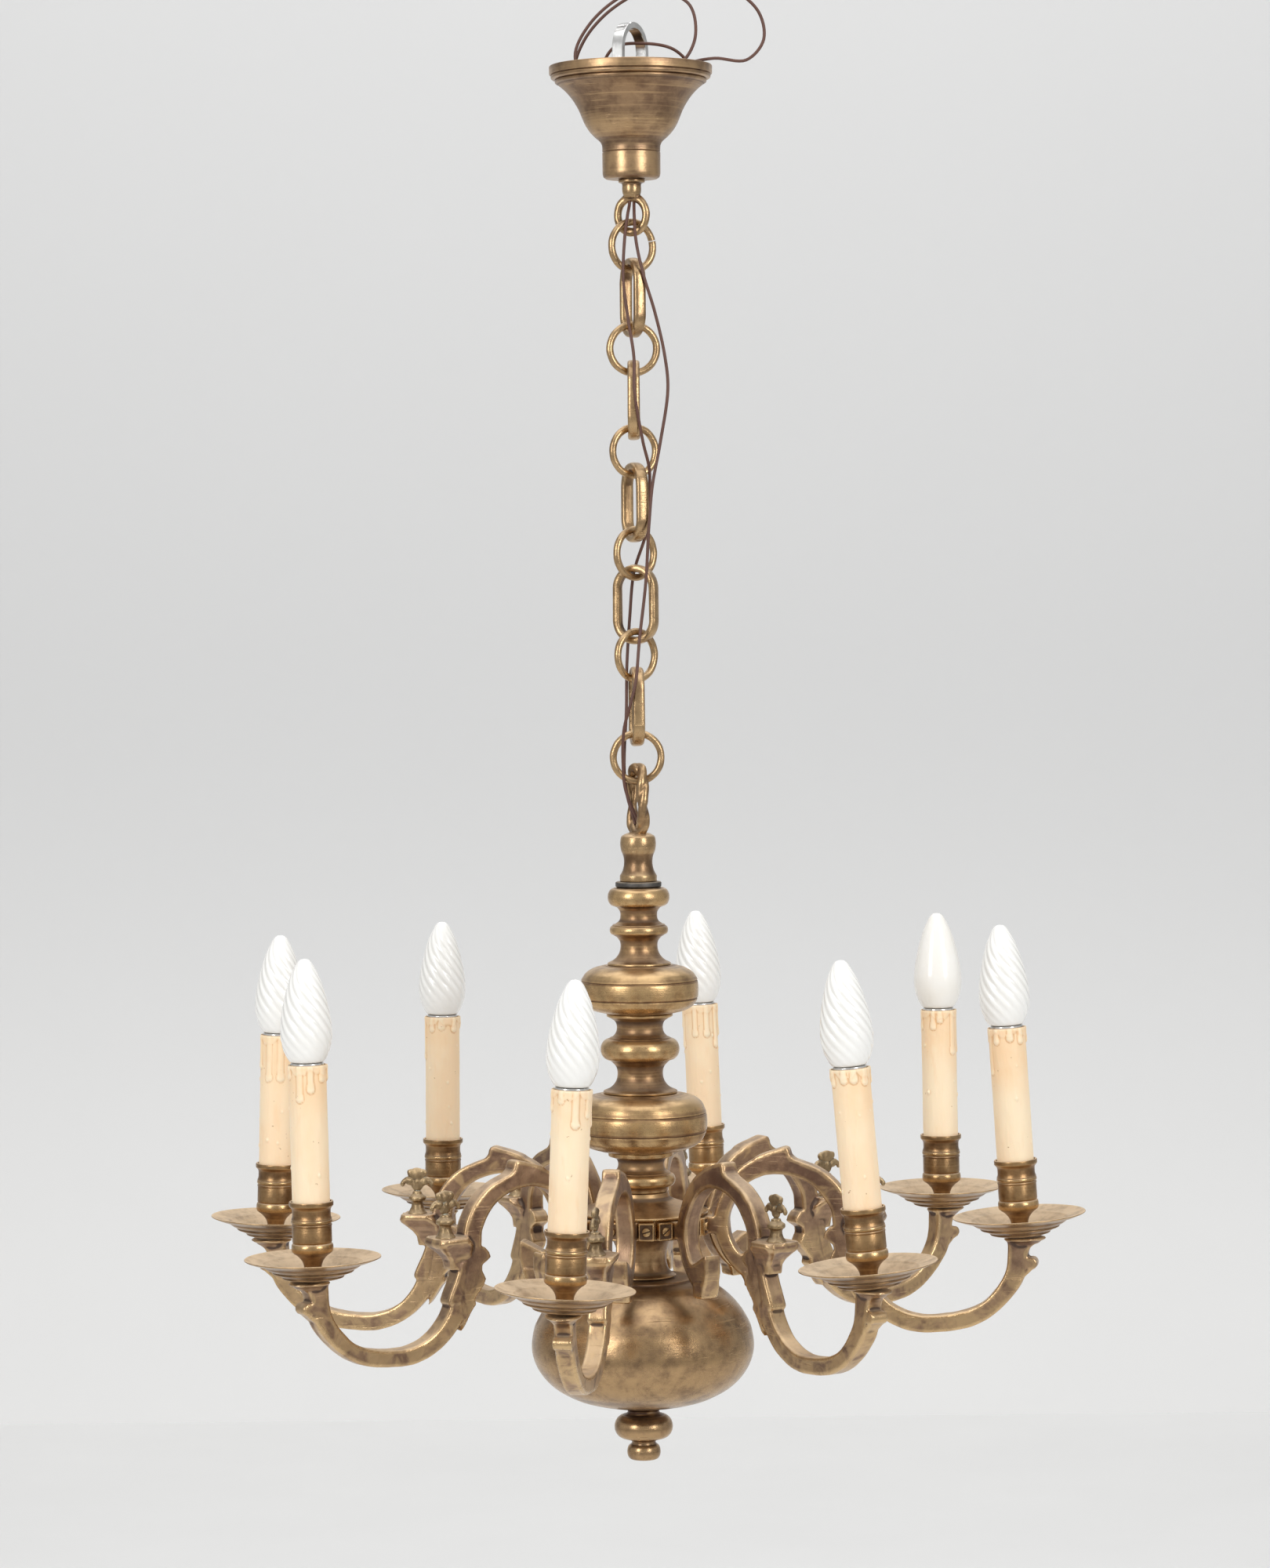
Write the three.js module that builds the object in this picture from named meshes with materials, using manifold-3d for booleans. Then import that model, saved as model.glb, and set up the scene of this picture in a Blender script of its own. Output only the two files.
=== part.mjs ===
// Eight-arm brass chandelier with candle bulbs, its link chain and its ceiling canopy.
// Millimetres, +Z up. The origin is the inside top of the steel hanging loop, where a hook holds it.
import * as THREE from 'three';
import { mergeVertices } from 'three/addons/utils/BufferGeometryUtils.js';
import Module from 'manifold-3d';

const wasm = await Module();
wasm.setup();

// Driving dimensions
const GAP = 0.3;
const TURNED_SIDES = 14;
const CANDLE_SIDES = 8;
const SMALL_SIDES = 8;
const ROD_RADIUS = 5;
const BORE_RADIUS = ROD_RADIUS + GAP;

const ARM_COUNT = 8;
const FIRST_ARM_ANGLE = 11;      // degrees clockwise from the front, seen from above
const ARM_WIDTH = 12.6;
const PAN_RADIUS_FROM_AXIS = 264;
const PAN_LEVEL = -841.5;        // underside of a drip pan on a level arm
const PAN_PLAY = 0.9;            // room for a pan that leans on its seat
const ARM_HINGE = [52, 15];      // where an arm's lift turns it, from the axis and above PAN_LEVEL
// Each arm's lift at its outer end, and its candle's lean to the right seen from the front, in degrees
const ARM_LIFT = [-1.9, -0.3, 0, -1, 0, 1.15, 2.75, 0.3];
const CANDLE_LEAN = [2.5, -0.9, 1.7, 0.4, -2.1, -0.7, -3.5, -4.8];

const RING_RADIUS = 16.2;        // centreline of a round ring
const RING_BAR = 2.5;            // its bar's radius
const OVAL_LENGTH = 55.3;
const OVAL_WIDTH = 33;
const OVAL_BAR = 5.4;
const OVAL_DEPTH = 8.5;
// Heights where one link hangs in the next, from the canopy's eye down to the column's loop
const CONTACTS = [
  -136, -162.5, -206.6, -233.1, -277.2, -303.7, -347.8, -374.3, -418.4, -444.9, -489, -515.5,
];
const HANGING_LOOP_TURN = 62;    // degrees about the vertical
// Each link's turn about the vertical, in degrees: round rings first, and ovals in between
const LINK_TURNS = [32, -70, 14, 90, 27, -68, 40, -25, 35, -84, 0];

const FLEX_RADIUS = 1.1;
const FLEX_SIDES = 8;
const FLEX_STEPS = 64;
// Each strand's route from the terminal block, over the canopy and down the chain into the column's loop
const FLEX_A = [
  [25, -15, -34.6], [26, -15, -30], [38, -14, -22], [45, -10, -5], [40, -3, 17], [14, 0, 26],
  [-12, 0, 14], [-32, 0, -8], [-38, 6, -28], [-14, 34, -38], [22, 33, -36], [41, 12, -26],
  [30, 3, -14], [8, 0, -10], [-12, 2, -13], [-21, 9, -34], [-14, 8, -56], [-3.2, 2.2, -60.6],
  [-1.4, 0.2, -70], [-1.4, 0, -104], [-1.5, -0.2, -119], [-3, -5, -128], [-5, -11, -143],
  [-6.4, -12.6, -172], [-3.6, -12.6, -198], [0.4, -15, -226], [0.6, -19.6, -250],
  [6, -13.6, -284], [10.4, -6.8, -304], [9.4, -4.4, -328], [7.6, 0.6, -347], [-1, 9.4, -374],
  [-4.2, 9.8, -405], [-6.6, 9.8, -440], [-7.2, 9.2, -470], [-8.8, 6.8, -497], [-9, 4.8, -512],
  [-7.6, 3, -527], [-1.8, 0.6, -548.6],
];
const FLEX_B = [
  [30, -7, -34.6], [31, -7, -30], [42, -5, -24], [58, -3, -21], [80, 0, -22], [92, 1, -8],
  [88, 1, 12], [66, -2, 28], [30, -6, 31], [-4, -9, 22], [-28, -10, 2], [-38, -10, -20],
  [-27, -14, -40], [0, -19, -52], [12, -12, -60], [3, -1.9, -61.6], [1.4, 0, -71], [1.4, 0, -104],
  [1.5, -0.2, -119], [1.6, -5, -129], [2.6, -12.4, -146], [7, -15.8, -168], [15, -13.6, -195],
  [21.6, -13, -225], [23.6, -13, -248], [18, -13, -285], [12.4, -14.4, -314], [9.8, -15.4, -340],
  [7, -13.6, -382], [2.4, -13.8, -420], [-0.6, -18, -450], [-4.3, -17.4, -465],
  [-9, -13.4, -483], [-9.8, -6.6, -508], [-8.2, -3.6, -525], [0.9, -0.8, -548.6],
];

const brass = { color: 0x6b532f, roughness: 0.38, metalness: 1 };
const castBrass = { color: 0x7a6140, roughness: 0.5, metalness: 1 };
const steel = { color: 0xb4b4b2, roughness: 0.35, metalness: 1 };
const iron = { color: 0x3a3a3c, roughness: 0.6, metalness: 0.8 };
const wax = { color: 0xedcfa2, roughness: 0.55, metalness: 0 };
const opal = { color: 0xf2f2ee, roughness: 0.3, metalness: 0 };
const brownPlastic = { color: 0x4a2c20, roughness: 0.5, metalness: 0 };
const whitePlastic = { color: 0xe6e2d8, roughness: 0.5, metalness: 0 };

const radians = THREE.MathUtils.degToRad;
const object = new THREE.Group();

function addMesh(parent, name, geometry, finish) {
  const mesh = new THREE.Mesh(geometry, new THREE.MeshStandardMaterial(finish));
  mesh.name = name;
  parent.add(mesh);
  return mesh;
}

// ---- Solids -------------------------------------------------------------------------------------

function toSolid(geometry) {
  const bare = geometry.clone();
  bare.deleteAttribute('normal');
  bare.deleteAttribute('uv');
  const merged = mergeVertices(bare, 1e-4);
  return new wasm.Manifold(new wasm.Mesh({
    numProp: 3,
    vertProperties: new Float32Array(merged.attributes.position.array),
    triVerts: new Uint32Array(merged.index.array),
  }));
}

function toGeometry(solid) {
  const mesh = solid.getMesh();
  const geometry = new THREE.BufferGeometry();
  geometry.setAttribute('position', new THREE.BufferAttribute(mesh.vertProperties, 3));
  geometry.setIndex(new THREE.BufferAttribute(mesh.triVerts, 1));
  geometry.computeVertexNormals();
  return geometry;
}

function join(...geometries) {
  return toGeometry(geometries.map(toSolid).reduce((whole, next) => whole.add(next)));
}

function cut(geometry, ...tools) {
  return toGeometry(tools.map(toSolid).reduce((whole, next) => whole.subtract(next), toSolid(geometry)));
}

// A turned piece about Z from [radius, height] points listed from its top down.
function turn(points, sides = TURNED_SIDES) {
  const outline = points.map(([radius, height]) => new THREE.Vector2(radius, height)).reverse();
  return new THREE.LatheGeometry(outline, sides).rotateX(Math.PI / 2);
}

// A turned piece with a hole through it for the rod.
function turnBored(points) {
  const top = points[0][1];
  const bottom = points[points.length - 1][1];
  return turn([[BORE_RADIUS, top], ...points, [BORE_RADIUS, bottom], [BORE_RADIUS, top]]);
}

// The same with a chamber inside, open to the hole.
function turnHollow(points, chamberRadius, wall = 4) {
  const top = points[0][1];
  const bottom = points[points.length - 1][1];
  return turn([
    [BORE_RADIUS, top], ...points, [BORE_RADIUS, bottom], [BORE_RADIUS, bottom + wall],
    [chamberRadius, bottom + wall], [chamberRadius, top - wall], [BORE_RADIUS, top - wall], [BORE_RADIUS, top],
  ]);
}

// Points of a bulge, or of a hollow when the crest is smaller, from a top height to a bottom height.
function swell(top, bottom, edge, crest, steps = 3) {
  const points = [];
  for (let i = 0; i <= steps; i += 1) {
    const angle = Math.PI * i / steps;
    const height = (top + bottom) / 2 + (top - bottom) / 2 * Math.cos(angle);
    points.push([edge + (crest - edge) * Math.sin(angle), height]);
  }
  return points;
}

function box(width, depth, height, x, y, z) {
  return new THREE.BoxGeometry(width, depth, height).translate(x, y, z);
}

// A plate of an outline drawn across (x) and up (z), centred on y = 0.
function plate(shape, thickness, curveSegments = 8) {
  const geometry = new THREE.ExtrudeGeometry(shape, { depth: thickness, bevelEnabled: false, curveSegments });
  return geometry.translate(0, 0, -thickness / 2).rotateX(Math.PI / 2);
}

function polygon(points) {
  return new THREE.Shape(points.map(([x, y]) => new THREE.Vector2(x, y)));
}

// The outline of a bar that follows centre points [x, z, half width], smooth on both sides.
function bar(stations, steps) {
  const centre = new THREE.CatmullRomCurve3(stations.map(([x, z]) => new THREE.Vector3(x, z, 0)));
  const widths = new THREE.SplineCurve(stations.map(([, , half], i) => new THREE.Vector2(i, half)));
  const near = [];
  const far = [];
  for (let i = 0; i <= steps; i += 1) {
    const share = i / steps;
    const point = centre.getPoint(share);
    const along = centre.getTangent(share);
    const half = widths.getPoint(share).y;
    near.push(new THREE.Vector2(point.x - along.y * half, point.y + along.x * half));
    far.push(new THREE.Vector2(point.x + along.y * half, point.y - along.x * half));
  }
  return new THREE.Shape([...near, ...far.reverse()]);
}

function tube(points, radius, sides, steps) {
  const path = new THREE.CatmullRomCurve3(points.map((p) => new THREE.Vector3(...p)));
  const section = new THREE.Shape();
  for (let i = 0; i < sides; i += 1) {
    const angle = 2 * Math.PI * i / sides;
    const place = [radius * Math.cos(angle), radius * Math.sin(angle)];
    if (i === 0) section.moveTo(...place);
    else section.lineTo(...place);
  }
  return new THREE.ExtrudeGeometry(section, { steps, bevelEnabled: false, extrudePath: path });
}

// ---- Ceiling end --------------------------------------------------------------------------------

function buildCeilingEnd() {
  const ceiling = new THREE.Group();
  object.add(ceiling);

  // A flat steel strap bent into a loop, with a collar at its foot for the nipple.
  const strap = new THREE.Shape();
  strap.absarc(0, -15, 19.7, 0, Math.PI);
  strap.lineTo(-15, -64);
  strap.lineTo(-8, -78);
  strap.lineTo(8, -78);
  strap.lineTo(15, -64);
  const eye = new THREE.Path();
  eye.absarc(0, -15, 15, 0, Math.PI);
  eye.lineTo(-10.6, -62);
  eye.lineTo(-8, -73);
  eye.lineTo(8, -73);
  eye.lineTo(10.6, -62);
  strap.holes.push(eye);
  const collar = turn([[0, -73], [10, -73], [10, -78], [0, -78]]);
  const passage = turn([[0, -70], [6.2 + GAP, -70], [6.2 + GAP, -80], [0, -80]]);
  const loop = cut(join(plate(strap, 8, 8), collar), passage);
  addMesh(ceiling, 'hanging_loop', loop.rotateZ(radians(HANGING_LOOP_TURN)), steel);

  // The canopy is a thin shell with an open top and a hole in the floor of its neck.
  const outside = [
    [56.2, -25.4], [56.2, -32], [51, -35], [42, -45.9], [36, -55.5], [30, -69],
    [20, -79], [20, -100.5], [17.5, -103], [7.4, -103],
  ];
  const inside = [
    [7.4, -101.8], [17, -101.8], [18.8, -99.8], [18.8, -78], [28.8, -68.2], [34.8, -55],
    [40.9, -45.2], [50, -34.2], [54.6, -31], [54.6, -25.4], [56.2, -25.4],
  ];
  addMesh(ceiling, 'canopy', turn([...outside, ...inside], TURNED_SIDES), brass);

  // The nipple goes up through the neck's floor and the strap's collar; its nut carries the chain's eye.
  const nipple = turn([
    [0, -69], [7.6, -69], [7.6, -72.7], [6, -72.7], [6, -101], [6.6, -103.3], [9.2, -103.3],
    [9.2, -105.6], [6.6, -106.4], [6.6, -110.5], [5.2, -115.4], [0, -115.4],
  ], SMALL_SIDES);
  const ring = new THREE.TorusGeometry(10.4, 2.75, 8, 16).scale(1, 1.15, 1).rotateX(Math.PI / 2);
  const eyelet = ring.translate(0, 0, -127.6).rotateZ(radians(-20));
  const wireway = turn([[0, -60], [3.3, -60], [3.3, -122], [0, -122]], SMALL_SIDES);
  addMesh(ceiling, 'canopy_link', cut(join(nipple, eyelet), wireway), castBrass);

  addMesh(ceiling, 'terminal_block', box(10, 18, 8, 27, 0, -39).rotateZ(radians(-24)), whitePlastic);
}

// ---- Chain --------------------------------------------------------------------------------------

function stadium(length, width, Kind) {
  const radius = width / 2;
  const straight = (length - width) / 2;
  const outline = new Kind();
  outline.absarc(0, straight, radius, 0, Math.PI);
  outline.absarc(0, -straight, radius, Math.PI, 2 * Math.PI);
  outline.closePath();
  return outline;
}

function ovalLink() {
  const bevel = 2.3;
  const outline = stadium(OVAL_LENGTH - 2 * bevel, OVAL_WIDTH - 2 * bevel, THREE.Shape);
  const innerLength = OVAL_LENGTH - 2 * OVAL_BAR + 2 * bevel;
  const innerWidth = OVAL_WIDTH - 2 * OVAL_BAR + 2 * bevel;
  outline.holes.push(stadium(innerLength, innerWidth, THREE.Path));
  const depth = OVAL_DEPTH - 2 * bevel;
  const settings = { depth, bevelThickness: bevel, bevelSize: bevel, bevelSegments: 1, curveSegments: 4 };
  return new THREE.ExtrudeGeometry(outline, settings).translate(0, 0, -depth / 2).rotateX(Math.PI / 2);
}

function roundLink() {
  return new THREE.TorusGeometry(RING_RADIUS, RING_BAR, 6, 16).rotateX(Math.PI / 2);
}

function buildChain() {
  LINK_TURNS.forEach((angle, i) => {
    const name = `link_${String(i + 1).padStart(2, '0')}`;
    const link = addMesh(object, name, i % 2 === 0 ? roundLink() : ovalLink(), castBrass);
    link.position.z = (CONTACTS[i] + CONTACTS[i + 1]) / 2;
    link.rotation.z = radians(angle);
  });
}

function buildFlex() {
  addMesh(object, 'flex_a', tube(FLEX_A, FLEX_RADIUS, FLEX_SIDES, FLEX_STEPS), brownPlastic);
  addMesh(object, 'flex_b', tube(FLEX_B, FLEX_RADIUS, FLEX_SIDES, FLEX_STEPS), brownPlastic);
}

// ---- Column -------------------------------------------------------------------------------------

// A cast loop like a twisted rope, leaning a little as it goes round, on a flared foot.
function twistedLoop() {
  const across = 9.4;
  const centre = -532.5;
  const halfHeight = 22.6;
  const points = [];
  const count = 14;
  for (let i = 0; i < count; i += 1) {
    const angle = 2 * Math.PI * i / count;
    points.push([across * Math.sin(angle) * 1.05, 0.9 * Math.sin(3 * angle), centre + halfHeight * Math.cos(angle)]);
  }
  const path = new THREE.CatmullRomCurve3(points.map((p) => new THREE.Vector3(...p)), true);
  const sections = 30;
  const sides = 6;
  const positions = [];
  const index = [];
  const frames = path.computeFrenetFrames(sections, true);
  for (let i = 0; i < sections; i += 1) {
    const at = path.getPointAt(i / sections);
    const twist = 2 * Math.PI * i / sections * 3;
    for (let j = 0; j < sides; j += 1) {
      const angle = 2 * Math.PI * j / sides;
      const radius = 3.9 + 0.4 * Math.cos(2 * angle - twist * 2);
      const point = at.clone()
        .addScaledVector(frames.normals[i], radius * Math.cos(angle))
        .addScaledVector(frames.binormals[i], radius * Math.sin(angle));
      positions.push(point.x, point.y, point.z);
      const next = (i + 1) % sections;
      const beside = (j + 1) % sides;
      const corners = [i * sides + j, next * sides + j, next * sides + beside, i * sides + beside];
      index.push(corners[0], corners[2], corners[1], corners[0], corners[3], corners[2]);
    }
  }
  const loop = new THREE.BufferGeometry();
  loop.setAttribute('position', new THREE.Float32BufferAttribute(positions, 3));
  loop.setIndex(index);
  return loop.rotateZ(radians(-68));
}

function buildColumn() {
  const column = new THREE.Group();
  object.add(column);
  const addTurned = (name, points, finish = brass) => addMesh(column, name, turnBored(points), finish);

  const foot = turn([
    [0, -556], [8, -556.5], [12, -560], [12, -566.5], [10.4, -570], [9.9, -575.8], [11.2, -581],
    [12.9, -585], [12.9, -588.2], [BORE_RADIUS, -588.2], [BORE_RADIUS, -578], [0, -578],
  ], 12);
  addMesh(column, 'twisted_loop', join(twistedLoop(), foot), castBrass);
  addTurned('iron_washer', [[16, -588.5], [16, -592.3]], iron);

  addTurned('upper_baluster', [
    [15, -592.6], ...swell(-593.2, -605, 17, 21.5), [16.8, -606.7], [13.4, -609], [12.8, -612.4],
    [14.4, -617], [18.4, -618.6], ...swell(-619.2, -625.2, 19, 20.3, 2), [17, -626], [13.6, -629],
    [12.9, -634], [15, -640], [22, -645], [22, -646.2],
  ]);
  addMesh(column, 'upper_disc', turnHollow([
    [24, -646.5], [32, -648], [38, -652], [40.6, -657], [40.8, -663], [40.2, -669], [36, -675.4],
    [30, -678.8], [24, -680],
  ], 34), brass);
  addTurned('middle_baluster', [
    [23, -680.3], [23, -682.4], [17.4, -685.5], [16, -690], [17.4, -695], [20, -697.2],
    ...swell(-697.7, -712.6, 21, 27.5), [19.6, -715], [16.4, -718], [15.8, -722.5], [18, -729],
    [25.7, -734.3], [25.7, -735.6],
  ]);
  addMesh(column, 'lower_disc', turnHollow([
    [28, -735.9], [37, -738], [43, -742.5], [45.8, -749], [46.1, -756], [45.4, -763], [41, -770],
    [33, -775], [25, -776.3],
  ], 38), brass);
  addTurned('lower_baluster', [
    [22.6, -776.6], [22.6, -779.8], [17.6, -781.6], [16, -785], [17.6, -789.4],
    ...swell(-791.6, -800.8, 20.5, 23.7, 4),
    [18.6, -803.4], [18.6, -804.3],
  ]);
  buildHub(column);

  // The ball is a thin shell; the rod passes through both of its holes.
  const shell = 1.4;
  const outer = [
    [BORE_RADIUS, -864], [36, -864.6], [50, -870], [63, -880], [72, -892], [76.6, -904], [77.4, -912],
    [75, -924], [67, -936], [54, -945.4], [38, -951.4], [20, -954.2], [BORE_RADIUS, -954.5],
  ];
  const inner = outer.map(([radius, height]) => {
    const share = radius <= BORE_RADIUS ? 1 : 1 - shell / radius;
    return [radius * share, height + (height > -911 ? -shell : shell)];
  });
  addMesh(column, 'ball', turn([...outer, ...inner.reverse(), outer[0]], 20), brass);

  addMesh(column, 'bottom_finial', turn([
    [BORE_RADIUS, -954.8], [12.8, -954.8], [12.8, -956.5], [11, -958], ...swell(-961, -977, 13, 20.3),
    [9, -978.6], [8.3, -980], ...swell(-981.4, -991.6, 8.4, 11.6, 3), [0, -992.6], [0, -969],
    [BORE_RADIUS, -969], [BORE_RADIUS, -954.8],
  ], 14), brass);

  const rod = new THREE.CylinderGeometry(ROD_RADIUS, ROD_RADIUS, 388, SMALL_SIDES).rotateX(Math.PI / 2);
  addMesh(column, 'centre_rod', rod.translate(0, 0, -773.5), steel);
}

// The domed hub ring: an arm's tenon sits in each slot, between two square bosses with their screws.
function buildHub(column) {
  const body = turnBored([
    [18.6, -804.6], [19.4, -807], [25, -811], [33, -814.4], [45, -818], [46, -819.5], [44.6, -820.2],
    [44.6, -833.4], [41, -834.6], [23.6, -834.8], [20.4, -838], [17, -847], [17, -854], [19.4, -859.5],
    [23.6, -862.6], [23.6, -863.7],
  ]);
  const pitch = 2 * Math.PI / ARM_COUNT;
  const bossCentre = 11.8;
  const extras = [];
  const slots = [];
  for (let i = 0; i < ARM_COUNT; i += 1) {
    const angle = -Math.PI / 2 - radians(FIRST_ARM_ANGLE) - i * pitch;
    for (const side of [-1, 1]) {
      extras.push(box(7, 9.6, 12.4, 44.2, side * bossCentre, -826.8).rotateZ(angle));
    }
    slots.push(box(20, ARM_WIDTH + 2 * GAP, 18, 48, 0, -828.4).rotateZ(angle));
  }
  addMesh(column, 'hub', cut(join(body, ...extras), ...slots), brass);
}

// ---- Arms and candles ---------------------------------------------------------------------------

const ARM_STROKE = [
  [264, -2, 9], [262.2, -10, 7], [261.3, -18, 6.8], [259.4, -25, 6.6], [255.9, -32, 6.4], [248.4, -41.2, 5.9],
  [238, -50, 5.6], [224.6, -55.6, 5.9], [208, -58.1, 5.8], [188.5, -57.6, 5.9], [171, -50, 5.9],
  [158, -36.5, 6.4], [151.2, -22, 7.2], [147, -10.5, 7.8], [144, 0, 7.9], [142, 12, 7], [141.1, 23.2, 7],
  [137.2, 32.2, 7], [131.6, 39.8, 6.8], [124.8, 45.7, 6.3], [116.5, 50, 5.9], [107.6, 53.2, 6.2],
  [98, 55.2, 6.8], [88, 54.4, 6.6], [79, 51, 6.2], [70.7, 44.6, 5.4], [63, 34, 5.1], [57.4, 20, 5],
  [58, 6, 5], [63, -6, 5], [70, -14, 5.6], [76, -20, 5.2], [77.4, -27, 4.2],
];

// One cast arm in its own plane: out along x, up along z, with its joints to hub and drip pan.
function armGeometry() {
  const stroke = plate(bar(ARM_STROKE, 26), ARM_WIDTH);
  const tenon = box(15, ARM_WIDTH, 12, 47, 0, 14.8);
  const seat = new THREE.CylinderGeometry(11.5, 12.5, 2.6, SMALL_SIDES).rotateX(Math.PI / 2).scale(1.2, 1, 1);
  seat.translate(267, 0, -2.1);
  const knob = new THREE.CylinderGeometry(3.8, 3.8, ARM_WIDTH, 6).translate(271, 0, -18.8);
  const spur = plate(polygon([[139, -22], [133, -12], [134.5, -2], [128.6, 3.4], [131, 10], [138, 12], [146, -4]]), ARM_WIDTH);
  const crest = plate(polygon([[97, 58], [102, 65.4], [108.5, 64.6], [110, 57], [104, 52]]), ARM_WIDTH);
  const footTab = plate(polygon([[70, -6], [86, 1.6], [87, -12], [81, -28.4], [72, -28.4], [67, -14]]), ARM_WIDTH);
  const corbel = plate(polygon([[146, -2], [153, 1], [163, 9], [169, 14.6], [169, 17.6], [146, 17.6]]), 22);
  const platform = box(23, 28, 3, 158.5, 0, 17.5);
  const finial = new THREE.LatheGeometry([
    [0, 0], [6.8, 0], [4, 6.6], [6.2, 11.4], [4, 13.6], [0, 13.6],
  ].map(([x, y]) => new THREE.Vector2(x, y)), 8).rotateX(Math.PI / 2).translate(160.5, 0, 18.9);
  const leaf = plate(polygon([
    [156.5, 31], [152.4, 37], [151.4, 43.4], [155.6, 45], [160.5, 51], [165.4, 45], [169.6, 43.4],
    [168.6, 37], [164.5, 31],
  ]), 3.2);
  return join(stroke, tenon, seat, knob, spur, crest, footTab, corbel, platform, finial, leaf);
}

// Drip pan and cup in one turned shape, with the lampholder standing inside.
function candleCupGeometry() {
  return turn([
    [0, 101], [7.4, 101], [7.4, 132], [10.8, 132], [10.8, 18], [13.2, 18], [13.2, 52], [14.7, 52],
    [14.7, 48.4], [12.7, 44.6], [13.9, 38], [13.3, 24.4], [13.9, 20.8], [6, 12], [6, 3.6],
    [20, 3.6], [32.2, 10], [45.5, 14], [45.5, 12.8], [20, 2], [17, 0], [0, 0],
  ], CANDLE_SIDES);
}

function sleeveGeometry() {
  const inner = 11.9;
  const outer = 12.9;
  const top = 143;
  const bottom = 19.2;
  return turn([[inner, top], [outer, top], [outer, bottom], [inner, bottom], [inner, top]], CANDLE_SIDES);
}

// Glass flame with the screw cap below it.
function bulbGeometry() {
  return turn([
    [0, 213.5], [3.4, 211.6], [9, 198.6], [15.4, 179], [17.3, 166], [15.6, 153],
    [11.4, 144.2], [6.7, 143.6], [6.7, 118], [0, 115.2],
  ], SMALL_SIDES);
}

function buildArms() {
  const arm = armGeometry();
  const cup = candleCupGeometry();
  const sleeve = sleeveGeometry();
  const bulb = bulbGeometry();
  for (let i = 0; i < ARM_COUNT; i += 1) {
    const number = i + 1;
    const azimuth = new THREE.Group();
    azimuth.rotation.z = -Math.PI / 2 - radians(FIRST_ARM_ANGLE + 360 / ARM_COUNT * i);
    azimuth.position.z = PAN_LEVEL;
    const lift = new THREE.Group();
    lift.position.set(ARM_HINGE[0], 0, ARM_HINGE[1]);
    lift.rotation.y = -radians(ARM_LIFT[i]);
    azimuth.add(lift);
    object.add(azimuth);
    const mesh = addMesh(lift, `arm_${number}`, arm, castBrass);
    mesh.position.set(-ARM_HINGE[0], 0, -ARM_HINGE[1]);

    object.updateMatrixWorld(true);
    const seat = mesh.localToWorld(new THREE.Vector3(PAN_RADIUS_FROM_AXIS, 0, 0));
    const candle = new THREE.Group();
    candle.position.copy(seat);
    candle.position.z += PAN_PLAY;
    candle.rotation.y = radians(CANDLE_LEAN[i]);
    object.add(candle);
    addMesh(candle, `candle_cup_${number}`, cup, brass);
    addMesh(candle, `sleeve_${number}`, sleeve, wax);
    addMesh(candle, `bulb_${number}`, bulb, opal);
  }
}

buildCeilingEnd();
buildChain();
buildFlex();
buildColumn();
buildArms();

export default object;
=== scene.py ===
"""An eight-arm brass chandelier with candle bulbs, hung by its link chain below a ceiling canopy."""

import math
import random

import bmesh
import bpy
import numpy as np
from mathutils import Matrix, Vector, noise


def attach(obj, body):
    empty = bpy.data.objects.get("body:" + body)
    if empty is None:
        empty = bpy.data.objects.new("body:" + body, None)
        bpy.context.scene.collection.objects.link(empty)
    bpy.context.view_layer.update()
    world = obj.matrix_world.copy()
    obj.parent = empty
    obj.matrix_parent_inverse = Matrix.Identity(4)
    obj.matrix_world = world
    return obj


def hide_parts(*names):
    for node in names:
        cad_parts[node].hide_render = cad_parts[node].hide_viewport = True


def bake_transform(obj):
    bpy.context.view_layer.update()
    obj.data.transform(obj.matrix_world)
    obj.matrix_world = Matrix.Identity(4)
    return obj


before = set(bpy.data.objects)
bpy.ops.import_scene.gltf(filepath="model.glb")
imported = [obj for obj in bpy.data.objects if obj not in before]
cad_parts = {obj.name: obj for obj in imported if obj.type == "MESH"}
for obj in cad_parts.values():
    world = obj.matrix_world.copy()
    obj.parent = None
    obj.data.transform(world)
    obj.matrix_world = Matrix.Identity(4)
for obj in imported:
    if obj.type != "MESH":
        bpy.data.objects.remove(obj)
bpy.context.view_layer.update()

MM = 0.001
TURN = 2 * math.pi


# ---- Measures, in millimetres below and beside the hook ------------------------------------------

CONTACTS = [-136, -162.5, -206.6, -233.1, -277.2, -303.7, -347.8, -374.3, -418.4, -444.9, -489, -515.5]
LINK_TURNS = [32, -70, 14, 90, 27, -68, 40, -25, 40, -84, 0]
LINKS = [f"link_{i + 1:02d}" for i in range(11)]
LINK_CENTRES = [(above + below) / 2 for above, below in zip(CONTACTS, CONTACTS[1:])]
RING_RADIUS = 16.6
RING_BAR = 2.5
OVAL_LENGTH = 55.3
OVAL_WIDTH = 33
OVAL_BAR = 5.4
OVAL_DEPTH = 8.5
LOOP_TURN = 62

ARMS = range(1, 9)
FIRST_ARM_ANGLE = 11
ARM_WIDTH = 12.6
PAN_RADIUS_FROM_AXIS = 264
PAN_LEVEL = -841.5
PAN_PLAY = 0.9
ARM_HINGE = Vector((52, 0, 15))
ARM_LIFT = [-1.9, -0.3, 0, -1, 0, 1.15, 2.75, 0.3]
CANDLE_LEAN = [2.5, -0.9, 1.7, 0.4, -2.1, -0.7, -3.5, -4.8]
PLAIN_BULB = 6

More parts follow.
